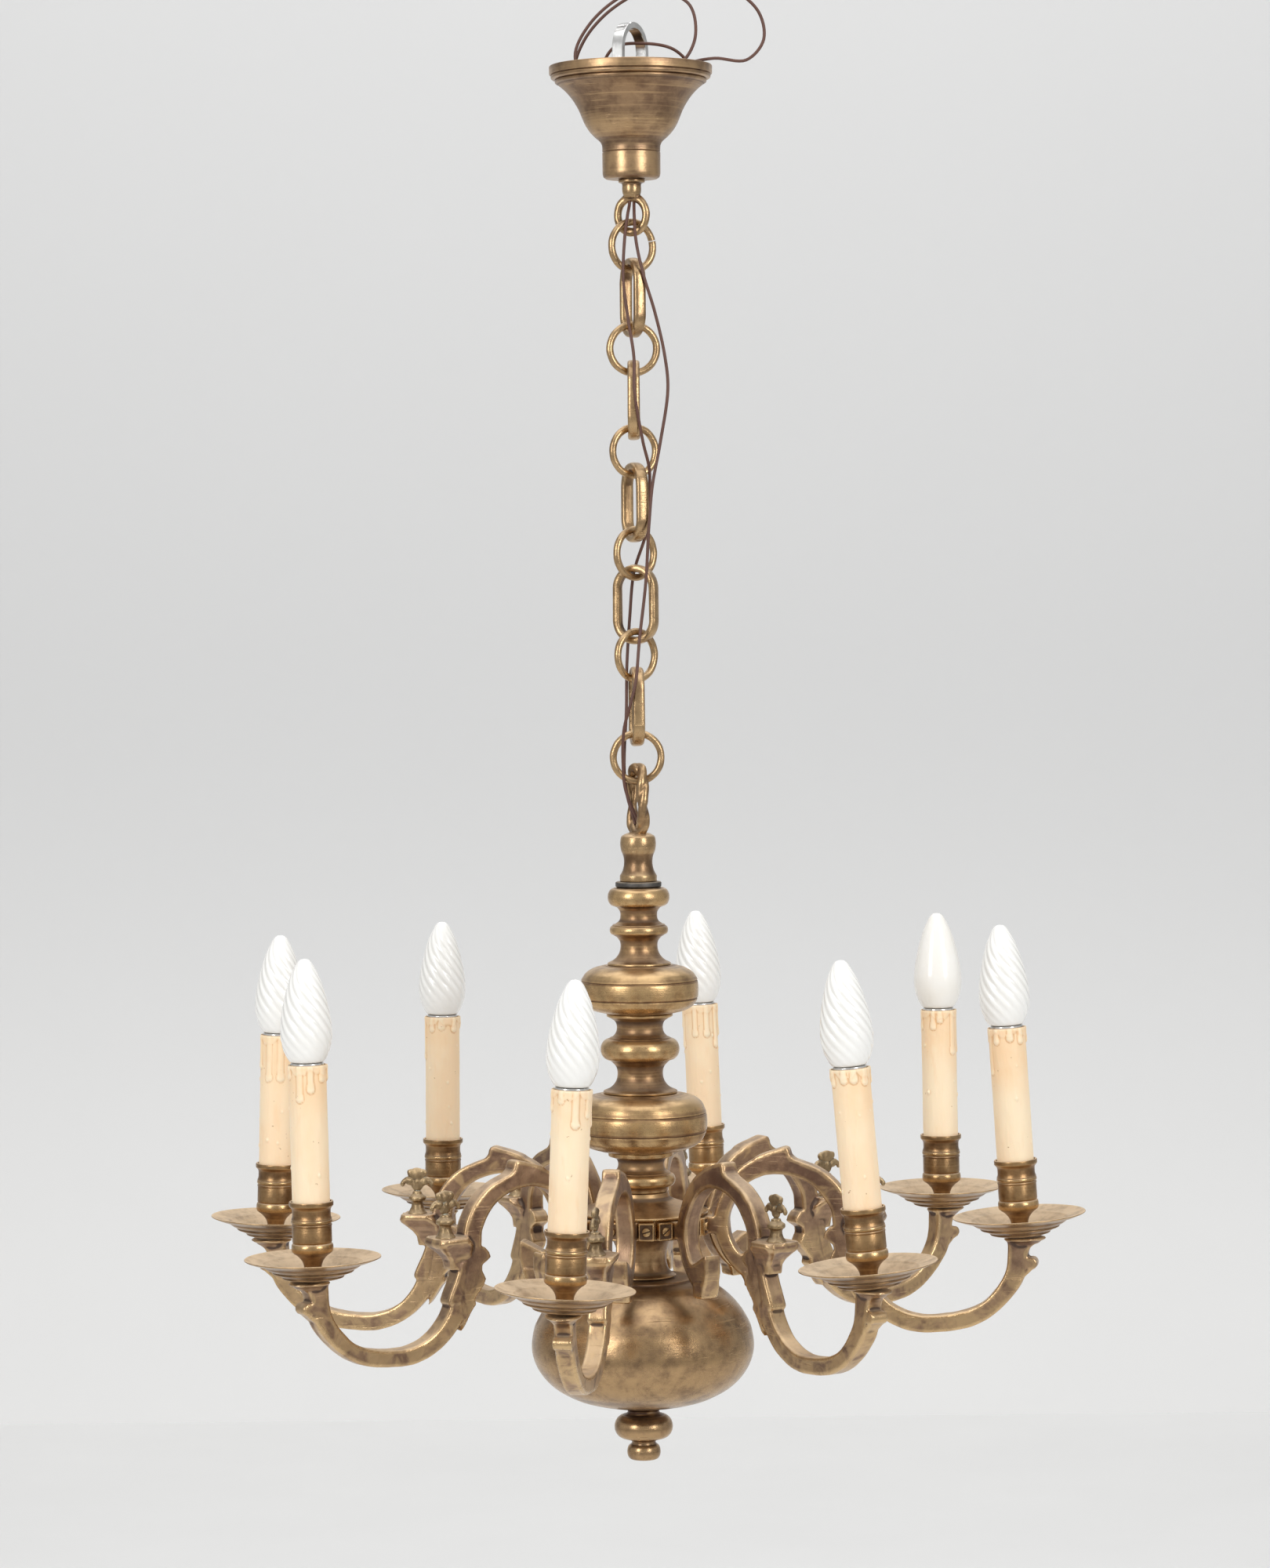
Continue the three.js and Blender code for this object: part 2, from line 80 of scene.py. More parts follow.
FLEX_RADIUS = 1.1
FLEX_A = [
    (25, -15, -34.6), (26, -15, -30), (38, -14, -22), (45, -10, -5), (40, -3, 17), (14, 0, 26),
    (-12, 0, 14), (-32, 0, -8), (-38, 6, -28), (-14, 34, -38), (22, 33, -36), (41, 12, -26),
    (30, 3, -14), (8, 0, -10), (-12, 2, -13), (-21, 9, -34), (-14, 8, -56), (-3.2, 2.2, -60.6),
    (-1.4, 0.2, -70), (-1.4, 0, -104), (-1.5, -0.2, -119), (-3, -5, -128), (-5, -11, -143),
    (-6.4, -12.6, -172), (-3.6, -12.6, -198), (0.4, -15, -226), (0.6, -19.6, -250),
    (6, -13.6, -284), (10.4, -6.8, -304), (9.4, -4.4, -328), (7.6, 0.6, -347), (-1, 9.4, -374),
    (-4.2, 9.8, -405), (-6.6, 9.8, -440), (-7.2, 9.2, -470), (-8.8, 6.8, -497), (-9, 4.8, -512),
    (-7.6, 3, -527), (-1.8, 0.6, -548.6),
]
FLEX_B = [
    (30, -7, -34.6), (31, -7, -30), (42, -5, -24), (58, -3, -21), (80, 0, -22), (92, 1, -8),
    (88, 1, 12), (66, -2, 28), (30, -6, 31), (-4, -9, 22), (-28, -10, 2), (-38, -10, -20),
    (-27, -14, -40), (0, -19, -52), (12, -12, -60), (3, -1.9, -61.6), (1.4, 0, -71), (1.4, 0, -104),
    (1.5, -0.2, -119), (1.6, -5, -129), (2.6, -12.4, -146), (7, -15.8, -168), (15, -13.6, -195),
    (21.6, -13, -225), (23.6, -13, -248), (18, -13, -285), (12.4, -14.4, -314), (9.8, -15.4, -340),
    (7, -13.6, -382), (2.4, -13.8, -420), (-0.6, -18, -450), (-4.3, -17.4, -465),
    (-9, -13.4, -483), (-9.8, -6.6, -508), (-8.2, -3.6, -525), (0.9, -0.8, -548.6),
]


# ---- Shapes -------------------------------------------------------------------------------------

def flow(points, steps=6, closed=False):
    """Points along one smooth curve through the given ones."""
    spots = [Vector(p) for p in points]
    if closed:
        spots = [spots[-1], *spots, spots[0], spots[1]]
    else:
        spots = [2 * spots[0] - spots[1], *spots, 2 * spots[-1] - spots[-2]]
    curve = []
    for a, b, c, d in zip(spots, spots[1:], spots[2:], spots[3:]):
        ab, bc, cd = (max((q - p).length ** 0.5, 1e-4) for p, q in ((a, b), (b, c), (c, d)))
        leave = ((b - a) / ab - (c - a) / (ab + bc) + (c - b) / bc) * bc
        arrive = ((c - b) / bc - (d - b) / (bc + cd) + (d - c) / cd) * bc
        for step in range(steps):
            s = step / steps
            curve.append(b + leave * s + (3 * (c - b) - 2 * leave - arrive) * s * s
                         + (2 * (b - c) + leave + arrive) * s ** 3)
    if not closed:
        curve.append(spots[-2])
    return curve


def swell(top, bottom, edge, crest, steps=10):
    """A turned bulge between two heights, or a hollow when its crest is the smaller radius."""
    middle, half = (top + bottom) / 2, (top - bottom) / 2
    angles = [math.pi * i / steps for i in range(steps + 1)]
    return [(edge + (crest - edge) * math.sin(a), middle + half * math.cos(a)) for a in angles]


def eased(profile, radius):
    """The profile with its corners rubbed round."""
    spots = [Vector(p) for p in profile]
    spots = [spots[0]] + [b for a, b in zip(spots, spots[1:]) if (b - a).length > 1e-4]
    soft = [spots[0]]
    for before, corner, after in zip(spots, spots[1:], spots[2:]):
        back, ahead = before - corner, after - corner
        if math.pi - back.angle(ahead) < 0.35:
            soft.append(corner)
            continue
        reach = min(radius, back.length * 0.45, ahead.length * 0.45)
        start, end = corner + back.normalized() * reach, corner + ahead.normalized() * reach
        soft += [start * (1 - s) ** 2 + corner * 2 * s * (1 - s) + end * s * s for s in (0, 0.33, 0.67, 1)]
    return soft + [spots[-1]]


def turned(profile, segments=96, radius=0.45, closed=False):
    """A turned shape about Z from (radius, height) points."""
    shape = bmesh.new()
    line = [shape.verts.new((r, 0, z)) for r, z in eased(profile, radius)]
    edges = [shape.edges.new(pair) for pair in zip(line, line[1:])]
    if closed:
        edges.append(shape.edges.new((line[-1], line[0])))
    bmesh.ops.spin(shape, geom=line + edges, axis=(0, 0, 1), cent=(0, 0, 0), angle=TURN,
                   steps=segments, use_merge=True)
    bmesh.ops.remove_doubles(shape, verts=shape.verts, dist=0.004)
    bmesh.ops.recalc_face_normals(shape, faces=shape.faces)
    return shape


def along(points, closed=False):
    """A matrix at each point of a path, its Z along the path and turned as little as can be."""
    spots = [Vector(p) for p in points]
    stations = []
    aim = None
    for i, spot in enumerate(spots):
        before = spots[i - 1] if i or closed else spot
        after = spots[(i + 1) % len(spots)] if i + 1 < len(spots) or closed else spot
        ahead = (after - before).normalized()
        turn = ahead.to_track_quat("Z", "Y") if aim is None else aim.rotation_difference(ahead) @ turn
        aim = ahead
        stations.append(Matrix.Translation(spot) @ turn.to_matrix().to_4x4())
    return stations


def sweep(section, stations, closed=False):
    """A section drawn in XY and carried through the stations."""
    shape = bmesh.new()
    ring = [shape.verts.new((x, y, 0)) for x, y in section]
    edges = [shape.edges.new(pair) for pair in zip(ring, ring[1:] + ring[:1])]
    bmesh.ops.transform(shape, matrix=stations[0], verts=ring)
    route = stations + stations[:1] if closed else stations
    for before, after in zip(route, route[1:]):
        grown = bmesh.ops.extrude_edge_only(shape, edges=edges)["geom"]
        ring = [g for g in grown if isinstance(g, bmesh.types.BMVert)]
        edges = [g for g in grown if isinstance(g, bmesh.types.BMEdge) and g.is_boundary]
        bmesh.ops.transform(shape, matrix=after @ before.inverted(), verts=ring)
    if closed:
        bmesh.ops.remove_doubles(shape, verts=shape.verts, dist=0.01)
    else:
        bmesh.ops.holes_fill(shape, edges=shape.edges)
    bmesh.ops.recalc_face_normals(shape, faces=shape.faces)
    return shape


def circle(radius, sides):
    return [(radius * math.cos(TURN * i / sides), radius * math.sin(TURN * i / sides)) for i in range(sides)]


def slab(outline, width, bevel=0.8):
    """A plate with an outline drawn across (X) and up (Z), centred on Y, with its edges broken."""
    shape = bmesh.new()
    face = shape.faces.new([shape.verts.new((x, -width / 2, z)) for x, z in outline])
    grown = bmesh.ops.extrude_face_region(shape, geom=[face], use_keep_orig=True)["geom"]
    bmesh.ops.translate(shape, vec=(0, width, 0), verts=[g for g in grown
                                                         if isinstance(g, bmesh.types.BMVert)])
    bmesh.ops.recalc_face_normals(shape, faces=shape.faces)
    if bevel:
        sharp = [e for e in shape.edges if e.calc_face_angle(0) > 0.6]
        bmesh.ops.bevel(shape, geom=sharp, offset=bevel, affect="EDGES", segments=2, profile=0.5,
                        material=-1)
    return shape


def block(size, place, bevel=0.5, turn=0):
    """A box with its edges broken."""
    shape = bmesh.new()
    bmesh.ops.create_cube(shape, size=1)
    bmesh.ops.scale(shape, vec=size, verts=shape.verts)
    bmesh.ops.bevel(shape, geom=shape.edges[:], offset=bevel, affect="EDGES", segments=2, profile=0.5,
                    material=-1)
    return placed(shape, Matrix.Translation(place) @ Matrix.Rotation(turn, 4, "Y"))


def pebble(size, place, turn=0):
    """An ellipsoid, turned about Y."""
    shape = bmesh.new()
    bmesh.ops.create_uvsphere(shape, u_segments=20, v_segments=12, radius=1)
    bmesh.ops.scale(shape, vec=size, verts=shape.verts)
    return placed(shape, Matrix.Translation(place) @ Matrix.Rotation(turn, 4, "Y"))


def roll(radius, width, x, z, sides=24):
    """A round bar lying across an arm."""
    profile = [(0, width / 2), (radius, width / 2), (radius, -width / 2), (0, -width / 2)]
    return placed(turned(profile, sides), Matrix.Translation((x, 0, z)) @ spun(90, "X"))


def spun(degrees, axis="Z"):
    return Matrix.Rotation(math.radians(degrees), 4, axis)


def placed(shape, matrix):
    bmesh.ops.transform(shape, matrix=matrix, verts=shape.verts)
    return shape


def together(*shapes):
    whole = bmesh.new()
    for shape in shapes:
        mesh = bpy.data.meshes.new("part")
        shape.to_mesh(mesh)
        shape.free()
        whole.from_mesh(mesh)
        bpy.data.meshes.remove(mesh)
    return whole


def fused(*shapes, grain=1.0, rubs=3):
    """Closed shapes melted into one casting, its edges a little rounded."""
    mesh = bpy.data.meshes.new("casting")
    together(*shapes).to_mesh(mesh)
    holder = bpy.data.objects.new("casting", mesh)
    bpy.context.scene.collection.objects.link(holder)
    melt = holder.modifiers.new("melt", "REMESH")
    melt.mode = "VOXEL"
    melt.voxel_size = grain
    rub = holder.modifiers.new("rub", "SMOOTH")
    rub.factor = 0.5
    rub.iterations = rubs
    shape = bmesh.new()
    shape.from_object(holder, bpy.context.evaluated_depsgraph_get())
    bpy.data.objects.remove(holder)
    bpy.data.meshes.remove(mesh)
    return shape


def roughened(shape, depth, pitch, seed=0):
    """The surface pushed in and out a little, as sand casting leaves it."""
    shape.normal_update()
    for vert in shape.verts:
        vert.co += vert.normal * depth * noise.noise(vert.co / pitch + Vector((seed, 0, 0)))
    return shape


def mark_relief(mesh, passes=8):
    """Stores how far each vertex stands proud of its smoothed surroundings, in millimetres."""
    count = len(mesh.vertices)
    spots = np.zeros(count * 3)
    normals = np.zeros(count * 3)
    ends = np.zeros(len(mesh.edges) * 2, int)
    mesh.vertices.foreach_get("co", spots)
    mesh.vertices.foreach_get("normal", normals)
    mesh.edges.foreach_get("vertices", ends)
    spots, normals, (a, b) = spots.reshape(-1, 3) / MM, normals.reshape(-1, 3), ends.reshape(-1, 2).T
    weight = 1 / np.maximum(np.linalg.norm(spots[a] - spots[b], axis=1), 0.1)
    total = np.bincount(a, weight, count) + np.bincount(b, weight, count) + 1e-9
    smooth = spots.copy()
    for _ in range(passes):
        apart = (smooth[b] - smooth[a]) * weight[:, None]
        pull = [np.bincount(a, apart[:, k], count) - np.bincount(b, apart[:, k], count) for k in range(3)]
        smooth += 0.6 * np.stack(pull, 1) / total[:, None]
    relief = ((spots - smooth) * normals).sum(1)
    mesh.attributes.new("relief", "FLOAT", "POINT").data.foreach_set("value", relief.astype(np.float32))


def piece(name, shape, finish, body, nodes=(), crease=38):
    """A finished piece from a shape in millimetres, riding on its body."""
    bmesh.ops.scale(shape, vec=(MM, MM, MM), verts=shape.verts)
    mesh = bpy.data.meshes.new(name)
    shape.to_mesh(mesh)
    shape.free()
    mesh.shade_smooth()
    mesh.set_sharp_from_angle(angle=math.radians(crease))
    mark_relief(mesh)
    mesh.materials.append(finish)
    made = bpy.data.objects.new(name, mesh)
    bpy.context.scene.collection.objects.link(made)
    if body:
        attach(made, body)
    if nodes:
        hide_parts(*nodes)
    return made


# ---- Finishes -----------------------------------------------------------------------------------

class Value:
    """A socket of a finish that takes part in sums."""

    def __init__(self, finish, socket):
        self.finish = finish
        self.socket = socket

    def sum(self, operation, first, second):
        return self.finish.node("ShaderNodeMath", {"operation": operation}, {0: first, 1: second})

    def __add__(self, other):
        return self.sum("ADD", self, other)

    def __radd__(self, other):
        return self.sum("ADD", other, self)

    def __sub__(self, other):
        return self.sum("SUBTRACT", self, other)

    def __rsub__(self, other):
        return self.sum("SUBTRACT", other, self)

    def __mul__(self, other):
        return self.sum("MULTIPLY", self, other)

    def __rmul__(self, other):
        return self.sum("MULTIPLY", other, self)

    def __neg__(self):
        return self.sum("MULTIPLY", self, -1)


class Finish:
    """A material whose nodes are added one by one."""

    def __init__(self, name):
        self.material = bpy.data.materials.new(name)
        self.material.use_nodes = True
        self.tree = self.material.node_tree
        self.shader = self.tree.nodes["Principled BSDF"]
        coordinates = self.tree.nodes.new("ShaderNodeTexCoord")
        self.place = Value(self, coordinates.outputs["Object"])
        self.facing = Value(self, coordinates.outputs["Normal"])

    def node(self, kind, settings, sockets, output=0):
        made = self.tree.nodes.new(kind)
        for key, setting in settings.items():
            if key == "stops":
                stops = made.color_ramp.elements
                while len(stops) < len(setting):
                    stops.new(0.5)
                for stop, (position, colour) in zip(stops, setting):
                    stop.position = position
                    stop.color = (*colour, 1)
            else:
                setattr(made, key, setting)
        self.join(made, sockets)
        return Value(self, made.outputs[output])

    def join(self, node, sockets):
        for key, value in sockets.items():
            if isinstance(value, Value):
                self.tree.links.new(value.socket, node.inputs[key])
            elif isinstance(value, tuple) and len(value) == 3 and node.inputs[key].type == "RGBA":
                node.inputs[key].default_value = (*value, 1)
            else:
                node.inputs[key].default_value = value

    def cloud(self, scale, detail=4, stretch=(1, 1, 1), turn=(0, 0, 0), rough=0.55, twist=0):
        """Noise from 0 to 1, with features of about 1 / scale metres."""
        where = self.place
        if stretch != (1, 1, 1) or turn != (0, 0, 0):
            where = self.node("ShaderNodeMapping", {"vector_type": "POINT"},
                              {"Vector": where, "Scale": stretch, "Rotation": turn})
        return self.node("ShaderNodeTexNoise", {}, {"Vector": where, "Scale": scale, "Detail": detail,
                                                    "Roughness": rough, "Distortion": twist})

    def between(self, value, low, high, start=0, end=1):
        """Value's rise from low to high, as start to end."""
        return self.node("ShaderNodeMapRange", {"interpolation_type": "SMOOTHSTEP"},
                         {"Value": value, "From Min": low, "From Max": high, "To Min": start, "To Max": end})

    def mix(self, share, first, second):
        return self.node("ShaderNodeMix", {"data_type": "RGBA"}, {0: share, 6: first, 7: second}, 2)

    def relief(self):
        return self.node("ShaderNodeAttribute", {"attribute_name": "relief"}, {}, "Fac")

    def upward(self):
        return self.node("ShaderNodeSeparateXYZ", {}, {0: self.facing}, 2)

    def height(self):
        return self.node("ShaderNodeSeparateXYZ", {}, {0: self.place}, 2)

    def done(self, bump=None, distance=0.0003, **sockets):
        named = {key.replace("_", " "): value for key, value in sockets.items()}
        if bump is not None:
            named["Normal"] = self.node("ShaderNodeBump", {}, {"Height": bump, "Distance": distance,
                                                               "Strength": 1.0})
        self.join(self.shader, named)
        return self.material


def aged_metal(name, dark, mid, rubbed, grime, rough=0.34, dust=0.0, rings=0.0, pits=1.0, scratches=0.0,
               stains=0.0, bloom=0.0, worn=0.85, metallic=1.0, handled=0.0):
    """Old handled metal: mottled tarnish, rubbed edges, dirt in the hollows and dust where it can settle."""
    finish = Finish(name)
    drift = finish.cloud(16, 5, rough=0.6, twist=0.6)
    mottle = finish.cloud(95, 7, rough=0.65)
    grain = finish.cloud(1100, 3)
    relief = finish.relief()
    tarnish = finish.between(drift * 0.55 + mottle * 0.45, 0.38, 0.62)
    colour = finish.mix(tarnish, dark, mid)
    height = mottle * (0.5 * pits) + grain * (0.16 * pits)
    roughness = rough + 0.16 * mottle - 0.08 + grain * 0.05
    if stains:
        blots = finish.between(finish.cloud(34, 3, rough=0.5, twist=1.2), 0.54, 0.66) * stains
        runs = finish.between(finish.cloud(60, 3, stretch=(1, 1, 0.35), twist=0.4), 0.56, 0.68) * stains
        colour = finish.mix(blots, colour, rubbed)
        colour = finish.mix(runs * 0.75, colour, dark)
        roughness = roughness - blots * 0.05
    if rings:
        fine = finish.cloud(1, 3, stretch=(26, 26, 1900))
        coarse = finish.between(finish.cloud(1, 4, stretch=(14, 14, 520)), 0.5, 0.72)
        colour = finish.mix(coarse * (0.55 * rings), colour, rubbed)
        height = height + fine * (0.35 * rings)
        roughness = roughness + fine * 0.08
    if scratches:
        reach = finish.between(finish.cloud(26, 2), 0.46, 0.6)
        for lean, stretch in ((0.9, 700), (-0.75, 620), (0.25, 900)):
            lines = finish.cloud(1, 2, stretch=(24, 24, stretch), turn=(0.2, lean, 0.3))
            cut = finish.between(lines, 0.66, 0.71) * reach
            colour = finish.mix(cut * scratches, colour, rubbed)
            height = height - cut * 0.5
    if handled:
        streaks = finish.between(finish.cloud(70, 5, twist=0.8), 0.36, 0.56)
        low = finish.between(finish.height(), -0.835, -0.872) * streaks
        colour = finish.mix(low * handled, colour, rubbed)
        roughness = roughness - low * 0.06
    wear = finish.between(relief, 0.035, 0.16) * finish.between(mottle, 0.3, 0.62, 0.45, 1)
    colour = finish.mix(wear * worn, colour, rubbed)
    dirt = finish.between(-relief, 0.03, 0.17) * finish.between(drift, 0.25, 0.6, 0.65, 1)
    colour = finish.mix(dirt, colour, grime)
    roughness = roughness + dirt * 0.2 - wear * 0.08
    shine = metallic - dirt * 0.4
    if dust:
        lying = finish.between(finish.upward(), 0.25, 0.95) * finish.between(mottle, 0.3, 0.6, 0.55,
                                                                             1) * dust
        colour = finish.mix(lying, colour, (0.72, 0.56, 0.38))
        roughness = roughness + lying * 0.35
        shine = shine - lying * 0.75
    if bloom:
        crust = finish.between(-relief, 0.05, 0.2) * finish.between(finish.cloud(420, 4), 0.42, 0.6) * bloom
        colour = finish.mix(crust, colour, (0.62, 0.68, 0.58))
        roughness = roughness + crust * 0.4
        shine = shine - crust
    return finish.done(bump=height, distance=0.00035, Base_Color=colour, Roughness=roughness, Metallic=shine)


def wax_finish():
    """Painted candle sleeve: warm cream with runs, pin specks and faint stains."""
    finish = Finish("candle_wax")
    drift = finish.cloud(22, 4, stretch=(1, 1, 0.5))
    runs = finish.cloud(150, 4, stretch=(1, 1, 0.22))
    grain = finish.cloud(900, 3)
    colour = finish.mix(finish.between(drift, 0.35, 0.65), (0.93, 0.70, 0.46), (0.95, 0.78, 0.55))
    colour = finish.mix(finish.between(runs, 0.56, 0.74) * 0.3, colour, (0.86, 0.56, 0.30))
    rim = finish.between(finish.height(), -0.742, -0.706) * finish.between(finish.cloud(55, 3), 0.35, 0.65,
                                                                           0.35, 1)
    colour = finish.mix(rim * 0.55, colour, (0.90, 0.60, 0.33))
    specks = finish.between(finish.cloud(330, 2), 0.72, 0.78)
    colour = finish.mix(specks * 0.7, colour, (0.34, 0.17, 0.06))
    relief = finish.relief()
    colour = finish.mix(finish.between(-relief, 0.02, 0.14) * 0.6, colour, (0.70, 0.38, 0.16))
    colour = finish.mix(finish.between(relief, 0.05, 0.25) * 0.5, colour, (0.98, 0.86, 0.64))
    finish.shader.inputs["Subsurface Weight"].default_value = 0.08
    finish.shader.inputs["Subsurface Radius"].default_value = (0.004, 0.002, 0.001)
    return finish.done(bump=runs * 0.5 + grain * 0.10, distance=0.0004, Base_Color=colour,
                       Roughness=0.42 + 0.15 * runs)


def glass_finish(name, warm):
    """Opal bulb glass, its tone varying a little at random, with painted shade greying its flutes."""
    finish = Finish(name)
    drift = finish.cloud(40, 3)
    colour = finish.mix(drift, warm, (0.93, 0.93, 0.91))
    # Painted shade: grey mixed into the hollows of the flutes.
    colour = finish.mix(finish.between(-finish.relief(), 0.01, 0.12) * 0.5, colour, (0.66, 0.65, 0.61))
    finish.shader.inputs["Subsurface Weight"].default_value = 0.25
    finish.shader.inputs["Subsurface Radius"].default_value = (0.006, 0.006, 0.006)
    finish.shader.inputs["Coat Roughness"].default_value = 0.08
    return finish.done(bump=finish.cloud(500, 2) * 0.2, distance=0.0001, Base_Color=colour,
                       Roughness=0.16 + 0.1 * drift, Coat_Weight=0.5 + 0.3 * drift)


def plastic_finish(name, low, high, rough):
    finish = Finish(name)
    drift = finish.cloud(60, 4)
    grain = finish.cloud(1500, 2)
    colour = finish.mix(drift, low, high)
    colour = finish.mix(finish.between(-finish.relief(), 0.03, 0.15) * 0.6, colour, (0.05, 0.035, 0.03))
    return finish.done(bump=grain * 0.3, distance=0.00015, Base_Color=colour, Roughness=rough + 0.2 * drift)


def plain_finish(name, low, high, rough=0.8):
    finish = Finish(name)
    colour = finish.mix(finish.cloud(3, 3), low, high)
    return finish.done(Base_Color=colour, Roughness=rough)


def wall_with_painted_light():
    """Pale paint with painted light: the wall is brightened towards the floor."""
    finish = Finish("wall_paint_and_painted_light")
    # Painted light: this mask brightens the wall towards the floor.
    low = finish.between(finish.height(), -0.45, -1.95)
    colour = finish.mix(low, (0.66, 0.662, 0.662), (0.87, 0.87, 0.866))
    return finish.done(Base_Color=finish.mix(finish.cloud(3, 3) * 0.1, colour, (0.6, 0.6, 0.6)),
                       Roughness=0.8)


GRIME = (0.045, 0.027, 0.018)
RUBBED = (0.66, 0.45, 0.22)

turned_brass = aged_metal("turned_brass", (0.21, 0.12, 0.064), (0.47, 0.30, 0.15), RUBBED,
                          (0.13, 0.078, 0.046), rough=0.28, dust=0.15, rings=0.6, worn=0.7)
cup_brass = aged_metal("cup_brass", (0.17, 0.096, 0.047), (0.36, 0.215, 0.10), RUBBED, GRIME, rough=0.26,
                       dust=0.85, rings=0.4, worn=0.6)
ball_brass = aged_metal("ball_brass", (0.10, 0.058, 0.042), (0.195, 0.12, 0.078), (0.50, 0.33, 0.17), GRIME,
                        rough=0.27, dust=0.15, rings=0.2, scratches=1.0, stains=0.45)
canopy_brass = aged_metal("canopy_brass", (0.17, 0.102, 0.065), (0.36, 0.235, 0.135), (0.56, 0.375, 0.20),
                          GRIME,
                          rough=0.30, rings=1.0, scratches=0.6, worn=0.6)
arm_brass = aged_metal("arm_brass", (0.20, 0.122, 0.086), (0.41, 0.268, 0.168), (0.68, 0.475, 0.25),
                       (0.075, 0.046, 0.034), rough=0.36, dust=0.5, pits=1.7, scratches=0.5, stains=0.6,
                       worn=0.6,
                       handled=0.6)
chain_brass = aged_metal("chain_brass", (0.18, 0.108, 0.06), (0.40, 0.262, 0.14), (0.64, 0.445, 0.235),
                         GRIME,
                         rough=0.32, dust=0.3, pits=1.3, scratches=0.4, worn=0.55)
finial_brass = aged_metal("finial_brass", (0.18, 0.125, 0.07), (0.38, 0.275, 0.155), (0.58, 0.44, 0.25),
                          (0.11, 0.08, 0.05), rough=0.42, dust=0.4, pits=1.8, bloom=0.7, worn=0.4)
bright_steel = aged_metal("bright_steel", (0.42, 0.42, 0.41), (0.62, 0.62, 0.61), (0.85, 0.85, 0.84),
                          (0.12, 0.11, 0.10), rough=0.20, pits=0.5, rings=0.2)
dark_iron = aged_metal("dark_iron", (0.02, 0.02, 0.021), (0.05, 0.048, 0.047), (0.14, 0.13, 0.12),
                       (0.02, 0.014, 0.01), rough=0.52, dust=0.3, pits=2.0, metallic=0.9)
candle_wax = wax_finish()
opal_glass = glass_finish("opal_glass", (0.90, 0.89, 0.85))
plain_glass = glass_finish("plain_opal_glass", (0.88, 0.84, 0.76))
brown_flex = plastic_finish("brown_flex", (0.075, 0.030, 0.020), (0.13, 0.055, 0.036), 0.38)
pale_plastic = plastic_finish("pale_plastic", (0.62, 0.57, 0.47), (0.74, 0.70, 0.60), 0.42)
dark_plastic = plastic_finish("dark_plastic", (0.02, 0.016, 0.014), (0.04, 0.032, 0.028), 0.35)


# ---- Camera -------------------------------------------------------------------------------------

def set_camera():
    lens = bpy.data.cameras.new("camera")
    lens.lens = 105.98
    lens.sensor_width = 36
    lens.clip_end = 50
    camera = bpy.data.objects.new("camera", lens)
    bpy.context.scene.collection.objects.link(camera)
    camera.matrix_world = (Matrix.Translation((-0.0017, -3.2, -0.385))
                           @ spun(87.57, "X")
                           @ spun(-0.56))
    bpy.context.scene.camera = camera


# ---- Flex ---------------------------------------------------------------------------------------

def lay_flex(letter, route):
    """One strand, cut at each link's centre into lengths that each span one joint of the chain."""
    path = flow(route, 8)
    bodies = ["root", *LINKS, "chandelier"]
    cuts = [next(i for i, spot in enumerate(path) if spot.z < centre) for centre in LINK_CENTRES]
    starts, ends = [0, *cuts], [*cuts, len(path) - 1]
    for k, (start, end) in enumerate(zip(starts, ends)):
        run = path[start:end + 1]
        length = sum((b - a).length for a, b in zip(run, run[1:]))
        name = f"flex_{letter}_{k + 1:02d}"
        strand = piece(name, sweep(circle(FLEX_RADIUS, 12), along(run)), brown_flex, None,
                       [f"flex_{letter}"])
        run[0] * MM
        length * MM
        [spot * MM for spot in run]
        bodies[k + 1]
        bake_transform(strand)


# ---- Ceiling end --------------------------------------------------------------------------------

def make_canopy():
    outside = [
        (54.9, -25.5), (56.0, -25.4), (56.3, -26.2), (56.2, -31.2), *swell(-31.4, -34.2, 54.4, 55.2, 4),
        (53.4, -34.6), *swell(-34.8, -37.2, 51.6, 52.4, 4),
        *flow([(50.4, -37.8), (46.2, -41.3), (42, -45.9), (38.6, -50.8), (36, -55.5), (34, -60.3), (32, -65),
               (28.6, -70.4), (24.6, -74.6), (21.6, -77.2), (20.2, -80), (20, -84.2)], 4),
        (19.5, -84.5), (20.1, -84.9), (20, -99), *flow([(19.9, -100), (19.2, -101.9), (17.5, -103)], 3),
        (7.4, -103.1),
    ]
    inside = [
        (7.4, -101.8), (17, -101.8), (18.8, -99.8), (18.8, -79.6),
        *flow([(20.8, -76), (27.6, -69.6), (31, -64.4), (34.8, -55), (41, -45), (50, -36)], 3), (54.6, -32),
        (54.9, -25.5),
    ]
    piece("canopy_shell", turned([*outside, *inside], 128, 0.35), canopy_brass, "root",
          ["canopy"])


